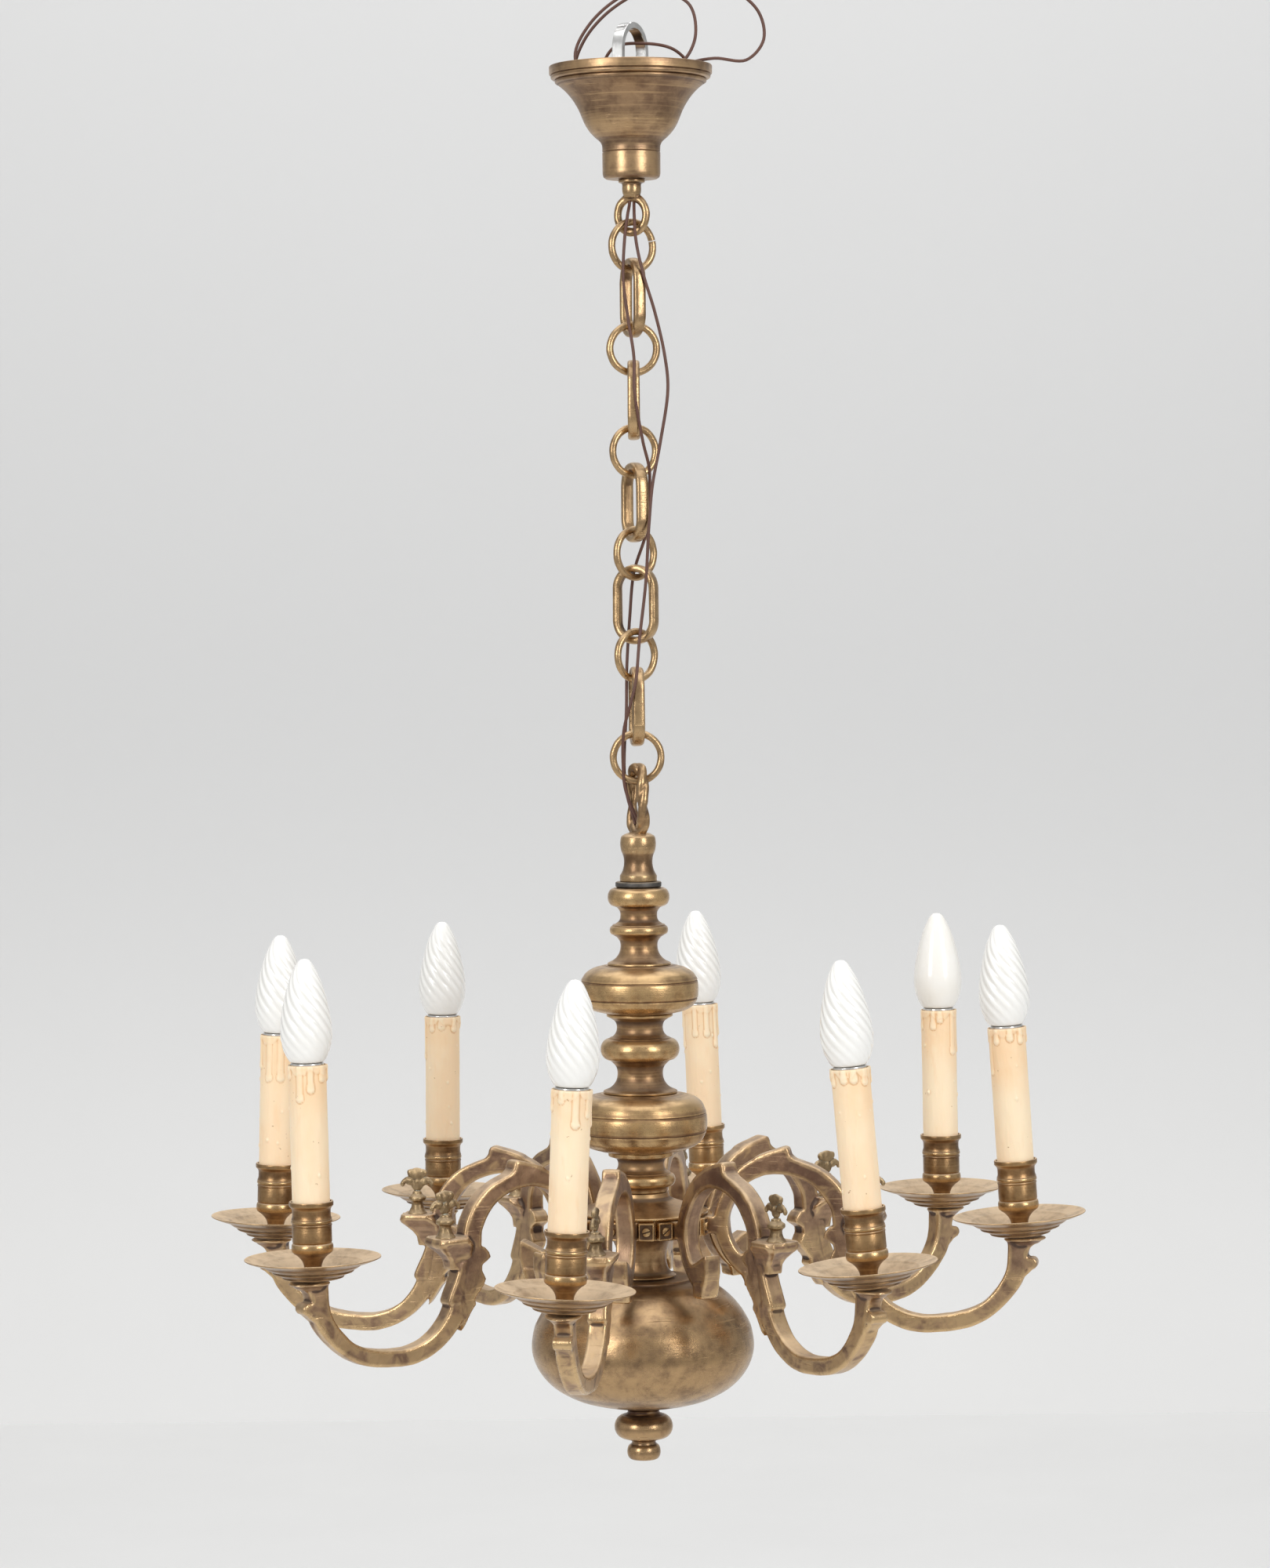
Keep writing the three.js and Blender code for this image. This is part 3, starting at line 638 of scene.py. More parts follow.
def make_hanging_loop():
    """A flat strap bent to a loop, its foot welded to a collar."""
    rise = [(17.35 * math.cos(a), -15 + 17.35 * math.sin(a)) for a in np.linspace(0, math.pi, 29)]
    path = [(x, 0, z) for x, z in
            [(0, -75.6), (7.4, -75.4), (9.6, -72), (12.8, -64), (17.35, -40), *rise,
             (-17.35, -40), (-12.8, -64), (-9.6, -72), (-7.4, -75.4)]]
    section = [(2.3, -3.4), (2.3, 3.4), (1.9, 3.9), (-1.9, 3.9), (-2.3, 3.4), (-2.3, -3.4), (-1.9, -3.9),
               (1.9, -3.9)]
    stations = []
    for i, spot in enumerate(path):
        before, after = Vector(path[i - 1]), Vector(path[(i + 1) % len(path)])
        ahead = (after - before).normalized()
        outward = Vector((0, 1, 0)).cross(ahead)
        stations.append(Matrix.Translation(spot) @ Matrix((outward, (0, 1, 0), ahead)).transposed().to_4x4())
    strap = sweep(section, stations, closed=True)
    collar = turned([(6.5, -72.8), (9.4, -72.8), (10, -73.6), (10, -77.4), (9.4, -78), (6.5, -78),
                     (6.5, -72.8)], 48)
    shape = placed(together(strap, collar), spun(LOOP_TURN))
    piece("steel_hanging_loop", shape, bright_steel, "root", ["hanging_loop"])


def make_canopy_link():
    """The threaded nipple with its nut, and the eye that carries the chain."""
    thread = []
    for k in range(22):
        thread += [(5.9, -73.4 - k * 1.25), (5.4, -74.0 - k * 1.25)]
    nipple = turned([(3.3, -62), (5.4, -62), (5.9, -62.6), (5.9, -68.6), (5.9, -73), *thread, (6.2, -101.4),
                     (6.8, -103.3), (9, -103.4), (9.2, -104), (9.1, -105.4), (6.9, -106),
                     *flow([(6.5, -107), (6.6, -110.5), (6.1, -113.4), (4.6, -116)], 4), (3.3, -116),
                     (3.3, -62)], 48)
    nut = turned([(5, -69), (7.8, -69), (7.8, -72.7), (5, -72.7), (5, -69)], 6, 0.3)
    eye = bmesh.new()
    bmesh.ops.create_circle(eye, segments=20, radius=2.75)
    placed(eye, Matrix.Translation((10.4, 0, 0)) @ spun(90, "X"))
    bmesh.ops.spin(eye, geom=eye.verts[:] + eye.edges[:], axis=(0, 0, 1), cent=(0, 0, 0), angle=TURN,
                   steps=56,
                   use_merge=True)
    bmesh.ops.recalc_face_normals(eye, faces=eye.faces)
    placed(eye, Matrix.Translation((0, 0, -127.6)) @ Matrix.Diagonal((1, 1, 1.15, 1)) @ spun(90, "X"))
    placed(eye, spun(-20))
    casting = roughened(fused(eye, turned([(0, -104), (6.4, -104), (6.6, -110.5), (5.4, -115.8), (0, -117)],
                                          40),
                              grain=0.7, rubs=3), 0.18, 5)
    piece("canopy_eye", casting, chain_brass, "root", ["canopy_link"])
    piece("canopy_nipple", nipple, chain_brass, "root")
    piece("canopy_nut", nut, bright_steel, "root")


def make_terminal_block():
    """A two-way block: a moulded body with two wire tunnels and their screws."""
    body = block((10, 18, 8), (27, 0, -39), 0.9)
    humps = [roll(2.9, 9.6, 27, -36.6, 24) for _ in range(2)]
    for hump, side in zip(humps, (-4.2, 4.2)):
        placed(hump, Matrix.Translation((27, side, -36.6)) @ spun(90)
               @ Matrix.Translation((-27, 0, 36.6)))
    shape = placed(fused(body, *humps, grain=0.5, rubs=2), spun(-24))
    piece("wire_block", shape, pale_plastic, "root", ["terminal_block"])


# ---- Chain --------------------------------------------------------------------------------------

def ring_link(number):
    """A round ring of cast bar; the first has a cut in its side and two more show where they were closed."""
    gap = {1: 0.05, 7: 0.006, 9: 0.006}.get(number, 0)
    start = {1: 0.28, 7: 2.6, 9: 1.9}.get(number, 0)
    shape = bmesh.new()
    bmesh.ops.create_circle(shape, segments=20, radius=RING_BAR)
    placed(shape, Matrix.Translation((RING_RADIUS, 0, 0)) @ spun(90, "X"))
    bmesh.ops.spin(shape, geom=shape.verts[:] + shape.edges[:], axis=(0, 0, 1), cent=(0, 0, 0),
                   angle=TURN - gap, steps=80, use_merge=not gap)
    if gap:
        bmesh.ops.holes_fill(shape, edges=shape.edges)
    bmesh.ops.recalc_face_normals(shape, faces=shape.faces)
    return placed(shape, spun(90, "X") @ Matrix.Rotation(start, 4, "Z"))


def oval_link():
    """A heavy stamped oval, flat on its faces and rounded at its edges."""
    radius = (OVAL_WIDTH - OVAL_BAR) / 2
    straight = (OVAL_LENGTH - OVAL_WIDTH) / 2
    half_bar, half_depth = OVAL_BAR / 2, OVAL_DEPTH / 2
    section = []
    for i in range(24):
        angle = TURN * i / 24
        squared = [abs(f(angle)) ** 0.62 * math.copysign(1, f(angle)) for f in (math.cos, math.sin)]
        section.append((half_bar * squared[0], half_depth * squared[1]))
    stations = []
    for end in (1, -1):
        for angle in np.linspace(0, math.pi, 29):
            across = radius * math.cos(angle) * end
            up = (straight + radius * math.sin(angle)) * end
            spin = Matrix.Rotation(-angle - (0 if end > 0 else math.pi), 4, "Y")
            stations.append(Matrix.Translation((across, 0, up)) @ spin)
    return sweep(section, stations, closed=True)


def make_chain():
    for i, name in enumerate(LINKS):
        shape = ring_link(i + 1) if i % 2 == 0 else oval_link()
        roughened(shape, 0.22, 7, seed=i * 3.1)
        placed(shape, Matrix.Translation((0, 0, LINK_CENTRES[i])) @ spun(LINK_TURNS[i]))
        piece(f"chain_{name}", shape, chain_brass, name, [name])


# ---- Column -------------------------------------------------------------------------------------

def bored(profile, bore=5.4):
    """The profile closed round the rod's hole."""
    top, bottom = profile[0][1], profile[-1][1]
    return [(bore, top), *profile, (bore, bottom), (bore, top)]


def groove(radius, height, depth=0.8, half=0.55):
    return [(radius, height + half), (radius - depth, height), (radius, height - half)]


def make_twisted_loop():
    """A heavy cast loop, wavy like twisted rope, on a waisted foot."""
    count, half_width, half_height, centre, wander = 14, 10.4, 22.7, -532.2, 0.9
    strand, offset, twists, turn = 3.15, 1.3, 3, -66
    points = []
    for i in range(count):
        angle = TURN * i / count
        points.append((half_width * math.sin(angle), wander * math.sin(3 * angle),
                       centre + half_height * math.cos(angle)))
    path = flow(points, 14, closed=True)
    stations = along(path, closed=True)
    strands = []
    for phase in (0, math.pi):
        route = [(s @ Matrix.Rotation(phase + TURN * twists * i / len(path), 4, "Z"))
                 @ Vector((offset, 0, 0))
                 for i, s in enumerate(stations)]
        strands.append(sweep(circle(strand, 16), along(route, closed=True), closed=True))
    foot = turned([(0, -553.4), (6, -554.4), *flow([(9, -555.4), (11.6, -557.2), (12.3, -560),
                                                    (12.4, -563.4),
                   (11.8, -567), (10.3, -571), (9.9, -575.8), (11, -581), (12.9, -584.4)], 4),
                   (12.9, -588.2),
                   (5.4, -588.2), (5.4, -578), (0, -578)], 64)
    loop = fused(*strands, grain=0.55, rubs=2)
    shape = placed(together(roughened(loop, 0.55, 6), foot), spun(turn))
    piece("rope_loop", shape, chain_brass, "chandelier", ["twisted_loop"])


def make_column():
    piece("washer", turned(bored([(15.2, -588.5), (16, -589), (16, -591.8), (15.2, -592.3)]), 64), dark_iron,
          "chandelier", ["iron_washer"])
    profiles = {
        "upper_baluster": [
            (15.4, -592.6), (17.2, -592.8), *swell(-593.1, -605.4, 17.4, 21.5, 14), (16.4, -605.9),
            *flow([(15.2, -606.3), (13.2, -609), (12.8, -612.4), (13.6, -615.6), (16.6, -618)], 4),
            (18.2, -618.4),
            (18.4, -619), *swell(-619.3, -625.1, 18.6, 20.3, 8), (17.6, -625.5), (17.2, -626),
            *flow([(15.6, -626.8), (13.3, -630), (12.9, -634), (14.2, -638.8), (17.6, -642.8), (22, -645)],
                  4),
            (22.2, -646.2),
        ],
        "upper_disc": [
            (23.6, -646.5), (24, -647), *flow([(27, -647.2), (32.4, -648.8), (37.4, -652), (40.1, -656)], 4),
            *groove(40.6, -657.3), *swell(-658.2, -669, 40.5, 41.0, 8), *groove(40.5, -669.8),
            *flow([(40, -671.2), (37.6, -674.6), (33, -677.6), (26.4, -679.4)], 4), (24, -680),
        ],
        "middle_baluster": [
            (22.4, -680.3), (23, -680.7), (23, -682.2),
            *flow([(20.4, -683.4), (17, -686), (16, -690), (16.8, -693.6),
            (19, -696.4)], 4), (20.8, -697), (21.2, -697.5), *swell(-697.8, -712.6, 21.4, 27.5, 16),
            (20.8, -713),
            *flow([(19.4, -714.2), (16.6, -717.6), (15.8, -722.5), (17, -727.6), (20.6, -731.8),
                   (25.4, -734)], 4),
            (25.8, -734.4), (25.7, -735.6),
        ],
        "lower_disc": [
            (27.6, -735.9), (28.4, -736.5), *flow([(31, -736.8), (37.6, -738.6), (42.8, -742.6),
                                                   (45.3, -748.2)], 4),
            *groove(45.8, -749.7), *swell(-750.6, -761.8, 45.7, 46.4, 8), *groove(45.6, -762.7),
            *flow([(45.1, -764.2), (42.4, -769.2), (37, -773), (29, -775.6)], 4), (25, -776.3),
        ],
        "lower_baluster": [
            (22.2, -776.6), (22.8, -777), (22.6, -779.6),
            *flow([(20, -780.4), (17, -782), (16, -785.4), (16.8, -788.6),
            (18.6, -790.6)], 4), (20, -791), (20.4, -791.6), *swell(-791.9, -800.6, 20.6, 23.8, 12),
            (19.4, -801),
            (18.7, -802.4), (18.6, -804.3),
        ],
    }
    for name, profile in profiles.items():
        piece(f"turned_{name}", turned(bored(profile), 128), turned_brass, "chandelier",
              [name])
    piece("long_rod", turned([(0, -579.5), (4.6, -579.5), (5, -580), (5, -967), (4.6, -967.5), (0, -967.5)],
                             32),
          bright_steel, "chandelier", ["centre_rod"])
    ball = [
        (5.4, -864), (22.6, -864.1), (22.9, -864.6), (34.6, -864.7), (35.6, -864.8), (36.2, -865.6),
        *flow([(36.8, -866.3), (43, -867.6), (50, -870), (57, -874.6), (63, -880), (68.4, -886.3),
               (72, -892),
               (75.2, -898.4), (76.6, -904), (77.5, -911), (77.1, -917), (75, -924), (71.8, -930),
               (67, -936),
               (61, -941.2), (54, -945.4), (46.4, -948.9), (38, -951.4), (29, -953.3), (20, -954.2)], 4),
               (13, -954.5),
        (5.4, -954.5), (5.4, -864),
    ]
    piece("hollow_ball", turned(ball, 160), ball_brass, "chandelier", ["ball"])
    finial = [
        (5.4, -954.8), (12.4, -954.8), (12.8, -955.2), (12.7, -956.4), *flow([(11.6, -957.2), (11, -958.6),
        (11.8, -960.2)], 4), (13, -960.8), *swell(-961.1, -977.4, 13.4, 20.4, 18), (11, -977.8),
        *flow([(9.4, -978.4), (8.3, -980), (8.6, -981.4)], 3), *swell(-981.6, -992.2, 8.6, 11.7, 14),
        (6, -992.5),
        (0, -992.6),
    ]
    piece("turned_bottom_finial", turned([(0, -954.8), *finial], 96), ball_brass,
          "chandelier",
          ["bottom_finial"])


def screw_head(radius, thickness):
    """A cheese head with a driver's slot, its top towards +Z."""
    shape = bmesh.new()
    bmesh.ops.create_cone(shape, cap_ends=True, segments=28, radius1=radius, radius2=radius * 0.94,
                          depth=thickness)
    top = [e for e in shape.edges if all(v.co.z > 0 for v in e.verts)]
    bmesh.ops.bevel(shape, geom=top, offset=0.35, affect="EDGES", segments=2, profile=0.5, material=-1)
    for side in (-0.5, 0.5):
        bmesh.ops.bisect_plane(shape, geom=shape.verts[:] + shape.edges[:] + shape.faces[:],
                               plane_co=(side, 0, 0),
                               plane_no=(1, 0, 0))
    floor = [f for f in shape.faces if f.normal.z > 0.5 and abs(f.calc_center_median().x) < 0.4]
    grown = bmesh.ops.extrude_face_region(shape, geom=floor)["geom"]
    bmesh.ops.translate(shape, vec=(0, 0, -0.9), verts=[g for g in grown
                                                        if isinstance(g, bmesh.types.BMVert)])
    bmesh.ops.delete(shape, geom=floor, context="FACES")
    bmesh.ops.recalc_face_normals(shape, faces=shape.faces)
    return shape


def make_hub():
    """The domed ring that the arms plug into, with a dished square boss and a screw either side of each."""
    profile = [
        (18.2, -804.6), (18.7, -805), *flow([(18.9, -806), (20.2, -808.6), (25, -811), (33, -813.6),
                                             (39.6, -815.6),
        (45, -817.6)], 4), (46.2, -818.3), (46.3, -819.4), (44.8, -820.1), (44.4, -821), (44.2, -833),
        (43.4, -834),
        (40, -834.7), (25, -834.8), *flow([(23.2, -835.2), (20.6, -838.4), (17.8, -845), (16.9, -851),
                                           (17.6, -856),
        (19.8, -860.4), (22.8, -862.4)], 4), (23.6, -862.9), (23.6, -863.7),
    ]
    slots = []
    bosses = []
    screws = []
    wander = random.Random(4)
    for i in ARMS:
        azimuth = Matrix.Rotation(-math.pi / 2 - math.radians(FIRST_ARM_ANGLE + 45 * (i - 1)), 4, "Z")
        for side in (-1, 1):
            boss = bmesh.new()
            bmesh.ops.create_cube(boss, size=1)
            bmesh.ops.scale(boss, vec=(7, 10.6, 12), verts=boss.verts)
            front = [f for f in boss.faces if f.normal.x > 0.9]
            bmesh.ops.inset_region(boss, faces=front, thickness=1.3)
            bmesh.ops.inset_region(boss, faces=front, thickness=0.5, depth=-1.1)
            sharp = [e for e in boss.edges if e.calc_face_angle(0) > 0.9]
            bmesh.ops.bevel(boss, geom=sharp, offset=0.4, affect="EDGES", segments=2, profile=0.5,
                            material=-1)
            lean = spun(side * 7)
            bosses.append(placed(boss, azimuth @ Matrix.Translation((44.6, side * 11.9, -826.8)) @ lean))
            seat = Matrix.Translation((47.9, side * 12.4, -826.8)) @ lean @ spun(90, "Y")
            spin = Matrix.Rotation(wander.uniform(0, math.pi), 4, "Z")
            screws.append(placed(screw_head(3.1, 2.0), azimuth @ seat @ spin))
    piece("hub_turning", together(turned(bored(profile), 144), *bosses), turned_brass,
          "chandelier",
          ["hub"])
    piece("hub_screws", together(*screws), turned_brass, "chandelier")


# ---- Arms ---------------------------------------------------------------------------------------

ARM_STROKE = [
    (264, -2, 9), (262.2, -10, 7), (261.3, -18, 6.8), (259.4, -25, 6.6), (255.9, -32, 6.4),
    (248.4, -41.2, 5.9),
    (238, -50, 5.6), (224.6, -55.6, 5.9), (208, -58.1, 5.8), (188.5, -57.6, 5.9), (171, -50, 5.9),
    (158, -36.5, 6.4), (151.2, -22, 7.2), (147, -10.5, 7.8), (144, 0, 7.9), (142, 12, 7), (141.1, 23.2, 7),
    (137.2, 32.2, 7), (131.6, 39.8, 6.8), (124.8, 45.7, 6.3), (116.5, 50, 5.9), (107.6, 53.2, 6.2),
    (98, 55.2, 6.8), (88, 54.4, 6.6), (79, 51, 6.2), (70.7, 44.6, 5.4), (63, 34, 5.1), (57.4, 20, 5),
    (58, 6, 5), (63, -6, 5), (70, -14, 5.6), (76, -20, 5.2), (77.4, -27, 4.2),
]


def arm_stroke():
    """The arm's S and C scrolls in one bar, flat-sided with its arrises just broken."""
    path = flow(ARM_STROKE, 5)
    half = ARM_WIDTH / 2
    section = [(1, -half + 1), (1, half - 1), (0.86, half), (-0.86, half), (-1, half - 1), (-1, 1 - half),
               (-0.86, -half), (0.86, -half)]
    stations = []
    for i, spot in enumerate(path):
        before, after = path[max(i - 1, 0)], path[min(i + 1, len(path) - 1)]
        ahead = Vector((after.x - before.x, 0, after.y - before.y)).normalized()
        outward = Vector((0, 1, 0)).cross(ahead)
        frame_here = Matrix((outward, (0, 1, 0), ahead)).transposed().to_4x4()
        stations.append(Matrix.Translation((spot.x, 0, spot.y)) @ frame_here
                        @ Matrix.Diagonal((spot.z, 1, 1, 1)))
    return sweep(section, stations)


def arm_casting():
    """One arm in its own plane: out along X, up along Z."""
    seat = turned([(0, -0.8), (11.2, -0.8), (12.2, -1.4), (12, -2.4), (9.4, -3.6), (8, -5.4), (0, -7)], 48)
    placed(seat, Matrix.Translation((267, 0, 0)) @ Matrix.Diagonal((1.2, 1, 1, 1)))
    bracket = slab([(255, -3), (277, -3), (274.5, -5), (270.6, -8), (267.8, -12), (267.4, -17), (258, -17),
                    (256, -9)],
                   ARM_WIDTH - 1.2)
    knob = roll(4.1, ARM_WIDTH, 271, -18.8)
    knob_web = slab([(262, -14), (268, -14.4), (272, -15), (273.6, -20), (270.5, -24), (264.5, -29),
                     (257, -33)],
                    ARM_WIDTH - 1.5)
    tenon = block((15, ARM_WIDTH, 12), (47, 0, 14.8), 0.6)
    spurs = [
        slab([(139, -22), (134, -16), (131.6, -11.4), (134.8, -5), (134.6, -1.5), (131, 0.8), (127.6, 3.2),
              (129, 7), (132, 10.4), (138, 12), (146, -4)], ARM_WIDTH - 0.6),
        slab([(148, -26), (152.4, -46), (143, -32), (139.4, -28), (140.8, -24.5), (138, -20), (146, -12)],
             ARM_WIDTH - 0.6),
    ]
    tongue = slab([(146, 4), (152.6, 2.6), (153.6, -3), (156.2, -10), (159.8, -17.6), (162.8, -24.6),
                   (161, -27.5),
                   (152, -27)], ARM_WIDTH + 0.9, 1.4)
    crest = slab([(70, 46), (76, 55.4), (84, 61.2), (92, 64.2), (99, 66), (104, 67.4), (106.6, 66.9),
                  (107.6, 64.4),
                  (108.2, 61), (112.5, 57.6), (104, 50)], ARM_WIDTH, 1.4)
    foot_tab = slab([(70, -6), (77, -2.4), (85.4, 1.8), (86.6, -0.6), (86.8, -11), (84.6, -19),
                     (81.4, -28.4),
                     (72, -28.4), (67, -14)], ARM_WIDTH)
    toe = slab([(71, -27.6), (72, -29), (81, -29), (82.4, -27.4), (84.4, -19.6), (84, -17.6), (70.6, -18)],
               ARM_WIDTH + 1.2, 1.0)
    corbel_levels = [(-3, 151, 8, 6.3), (3, 151.6, 8.6, 6.4), (7, 153, 10, 7.2), (10.5, 155, 12, 9),
                     (13.4, 157, 13.6, 11.6),
                     (15.4, 158.2, 13, 13), (17, 158.5, 12, 13.4)]
    corbel = sweep([(-1, -0.8), (-0.8, -1), (0.8, -1), (1, -0.8), (1, 0.8), (0.8, 1), (-0.8, 1), (-1, 0.8)],
                   [Matrix.Translation((x, 0, z)) @ Matrix.Diagonal((reach, half, 1, 1))
                    for z, x, reach, half in corbel_levels])
    platform = bmesh.new()
    corners = [(-11.5, -9), (-8, -14), (8, -14), (12, -9.5), (12.6, 0), (12, 9.5), (8, 14), (-8, 14),
               (-11.5, 9)]
    face = platform.faces.new([platform.verts.new((x + 158.5, y, 16.1)) for x, y in corners])
    grown = bmesh.ops.extrude_face_region(platform, geom=[face], use_keep_orig=True)["geom"]
    bmesh.ops.translate(platform, vec=(0, 0, 2.9), verts=[g for g in grown
                                                          if isinstance(g, bmesh.types.BMVert)])
    bmesh.ops.recalc_face_normals(platform, faces=platform.faces)
    casting = fused(arm_stroke(), seat, bracket, knob, knob_web, tenon, *spurs, tongue, crest,
                    foot_tab, toe, corbel, platform, grain=0.95, rubs=2)
    return roughened(casting, 0.28, 9)


def finial_casting():
    """The small bell and three-lobed palmette that stand on each arm's bracket."""
    bell = turned([(0, 18.4), (6.8, 18.4), (7, 19.2),
                   *flow([(6.4, 19.8), (4.9, 22.4), (3.9, 25.8), (4.4, 27.4)], 4),
                   *swell(27.6, 31.6, 4.6, 6.3, 6), *flow([(4.6, 31.9), (3.4, 33), (3.4, 34.4)], 3),
                   (0, 34.8)], 40, 0.3)
    petals = [pebble((5.2, 2.1, 5), (0, 0, 46.2)), pebble((4.6, 2.2, 5), (0, 0, 39.4)),
              pebble((1.9, 2.9, 1.9), (0, 0, 41.6))]
    for side in (-1, 1):
        petals += [
            pebble((3.3, 2.0, 3.1), (side * 4, 0, 47.2)),
            pebble((5, 2.0, 3), (side * 5, 0, 41.4), math.radians(side * -16)),
            pebble((3.3, 1.7, 1.8), (side * 8.6, 0, 41.6), math.radians(side * 28)),
            pebble((1.7, 1.6, 2.4), (side * 10.4, 0, 39.8), math.radians(side * -10)),
        ]
    return roughened(placed(fused(bell, *petals, grain=0.5, rubs=2), Matrix.Translation((160.5, 0, 0))), 0.3,
                     2.6)


def arm_matrix(i):
    azimuth = Matrix.Rotation(-math.pi / 2 - math.radians(FIRST_ARM_ANGLE + 45 * i), 4, "Z")
    lift = Matrix.Rotation(-math.radians(ARM_LIFT[i]), 4, "Y")
    return (azimuth @ Matrix.Translation((0, 0, PAN_LEVEL)) @ Matrix.Translation(ARM_HINGE) @ lift
            @ Matrix.Translation(-ARM_HINGE))


def candle_matrix(i):
    seat = arm_matrix(i) @ Vector((PAN_RADIUS_FROM_AXIS, 0, 0))
    return Matrix.Translation(seat + Vector((0, 0, PAN_PLAY))) @ spun(CANDLE_LEAN[i], "Y")


def make_arms():
    casting = arm_casting()
    finial = finial_casting()
    for number in ARMS:
        arm = placed(casting.copy(), arm_matrix(number - 1))
        piece(f"cast_arm_{number}", arm, arm_brass, "chandelier", [f"arm_{number}"], crease=50)
        top = placed(finial.copy(), arm_matrix(number - 1))
        piece(f"palmette_{number}", top, finial_brass, "chandelier", crease=50)


# ---- Candles ------------------------------------------------------------------------------------

CUP = [
    (13.2, 48.7), (13.25, 51.6), (13.7, 52.1), (14.4, 52.1), (14.8, 51.5), (14.8, 49.2), (14.2, 48.4),
    *flow([(13.7, 48.0), (12.95, 46.6), (12.8, 44.4), (12.9, 42), (13.3, 40.6)], 4), (13.6, 40.1),
    *swell(39.8, 37.4, 13.2, 13.75, 6), (13.1, 37.1), *swell(36.8, 35.4, 13.1, 13.5, 5), (13.2, 35),
    (13.25, 25),
    (12.9, 24.4), *swell(24.0, 17.8, 12.9, 14.0, 10),
    *flow([(12.4, 17.3), (9.6, 15.2), (7.2, 12.2), (6.1, 9.4), (5.9, 7.6), (6.3, 5.4), (7.6, 4.0)], 4),
    *flow([(9, 3.6), (14, 3.4), (19, 3.7), (24, 5.8), (28.4, 8.3), (32.2, 10.2)], 4), (33.2, 10.9),
    *flow([(36, 11.5), (40.4, 12.7), (44.9, 14.3)], 4), (45.5, 14.3), (45.6, 13.7),
    *flow([(44.6, 13.2), (40, 11.5), (34.2, 9.8)], 4), (32.9, 9.5),
    *flow([(32.3, 8.6), (30.4, 7.3), (28.2, 6.2)], 4), (27.4, 6.1), *swell(5.9, 4.5, 26.6, 27.3, 5),
    (26, 4.4),
    *flow([(25.2, 4.2), (23, 3.2), (21.2, 2.3)], 3), *swell(2.1, 0.9, 20.0, 20.7, 5), (19.4, 0.8), (18, 0.3),
    (16.8, 0.05),
    (5, 0.05), (5, 2.4), (4, 2.4), (4, 48.7), (13.2, 48.7),
]
LAMPHOLDER = [
    (0, 100), (7.6, 100), (7.6, 131.6), (8.2, 132), (10.2, 132), (10.8, 131.4), (10.8, 118), (10.4, 117.4),
    (10.4, 112), (9, 111), (6, 108), (6, 49.2), (0, 49.2),
]


def sleeve_shape(number):
    """A card candle dipped in wax: a lumpy scalloped rim with runs and pips standing out below it."""
    outer, inner, top, bottom = 12.6, 11.9, 143.1, 49.2
    rows = [(outer, top - 0.9 - (top - bottom - 1.5) * k / 112) for k in range(113)]
    rim = [(inner, top - 1.2), (12.05, top - 0.35), (12.3, top)]
    shape = turned([*rim, *rows, (12.3, bottom), (inner, bottom), (inner, top - 1.2)], 128, 0.2)
    wander = random.Random(100 + number)
    runs = []
    for k in range(9):
        length = wander.choice((7, 9, 12, 16, 22, 30))
        runs.append((TURN * (k + wander.uniform(-0.3, 0.3)) / 9, length, wander.uniform(0.13, 0.18),
                     wander.uniform(0.55, 0.95)))
    pips = [(wander.uniform(0, TURN), wander.uniform(62, 122), wander.uniform(0.7, 1.3)) for _ in range(9)]
    seed = Vector((number * 7.3, 0, 0))
    for vert in shape.verts:
        radius = math.hypot(vert.co.x, vert.co.y)
        if radius < 12.2:
            continue
        angle, height = math.atan2(vert.co.y, vert.co.x), vert.co.z
        ahead = Vector((vert.co.x, vert.co.y, 0)).normalized()
        proud = 0.16 * noise.noise(Vector((ahead.x * 3.2, ahead.y * 3.2, height / 26)) + seed)
        proud += 0.10 * noise.noise(Vector((ahead.x * 9, ahead.y * 9, height / 9)) + seed)
        band = top - 5.2 + 1.6 * math.sin(5 * angle + number) + 0.9 * math.sin(11 * angle + 2 * number)
        proud += 0.42 * min(1, max(0, (height - band) / 1.2))
        for place, length, width, size in runs:
            apart = abs((angle - place + math.pi) % TURN - math.pi) / width
            tip = top - length
            if height < tip:
                apart = math.hypot(apart, (tip - height) / (12.6 * width))
            fat = 1 + 0.35 * math.exp(-((height - tip) / 3.4) ** 2)
            proud = max(proud, size * fat * math.sqrt(max(0, 1 - (apart / fat) ** 2)) + 0.6 * proud)
        for place, level, size in pips:
            apart = math.hypot(((angle - place + math.pi) % TURN - math.pi) * 12.6, (height - level)
                               * 0.8) / size
            proud += 0.55 * math.sqrt(max(0, 1 - apart ** 2))
        room = 1 if height > 55 else 0.25
        vert.co += ahead * min(proud * room, 1.5)
    return shape


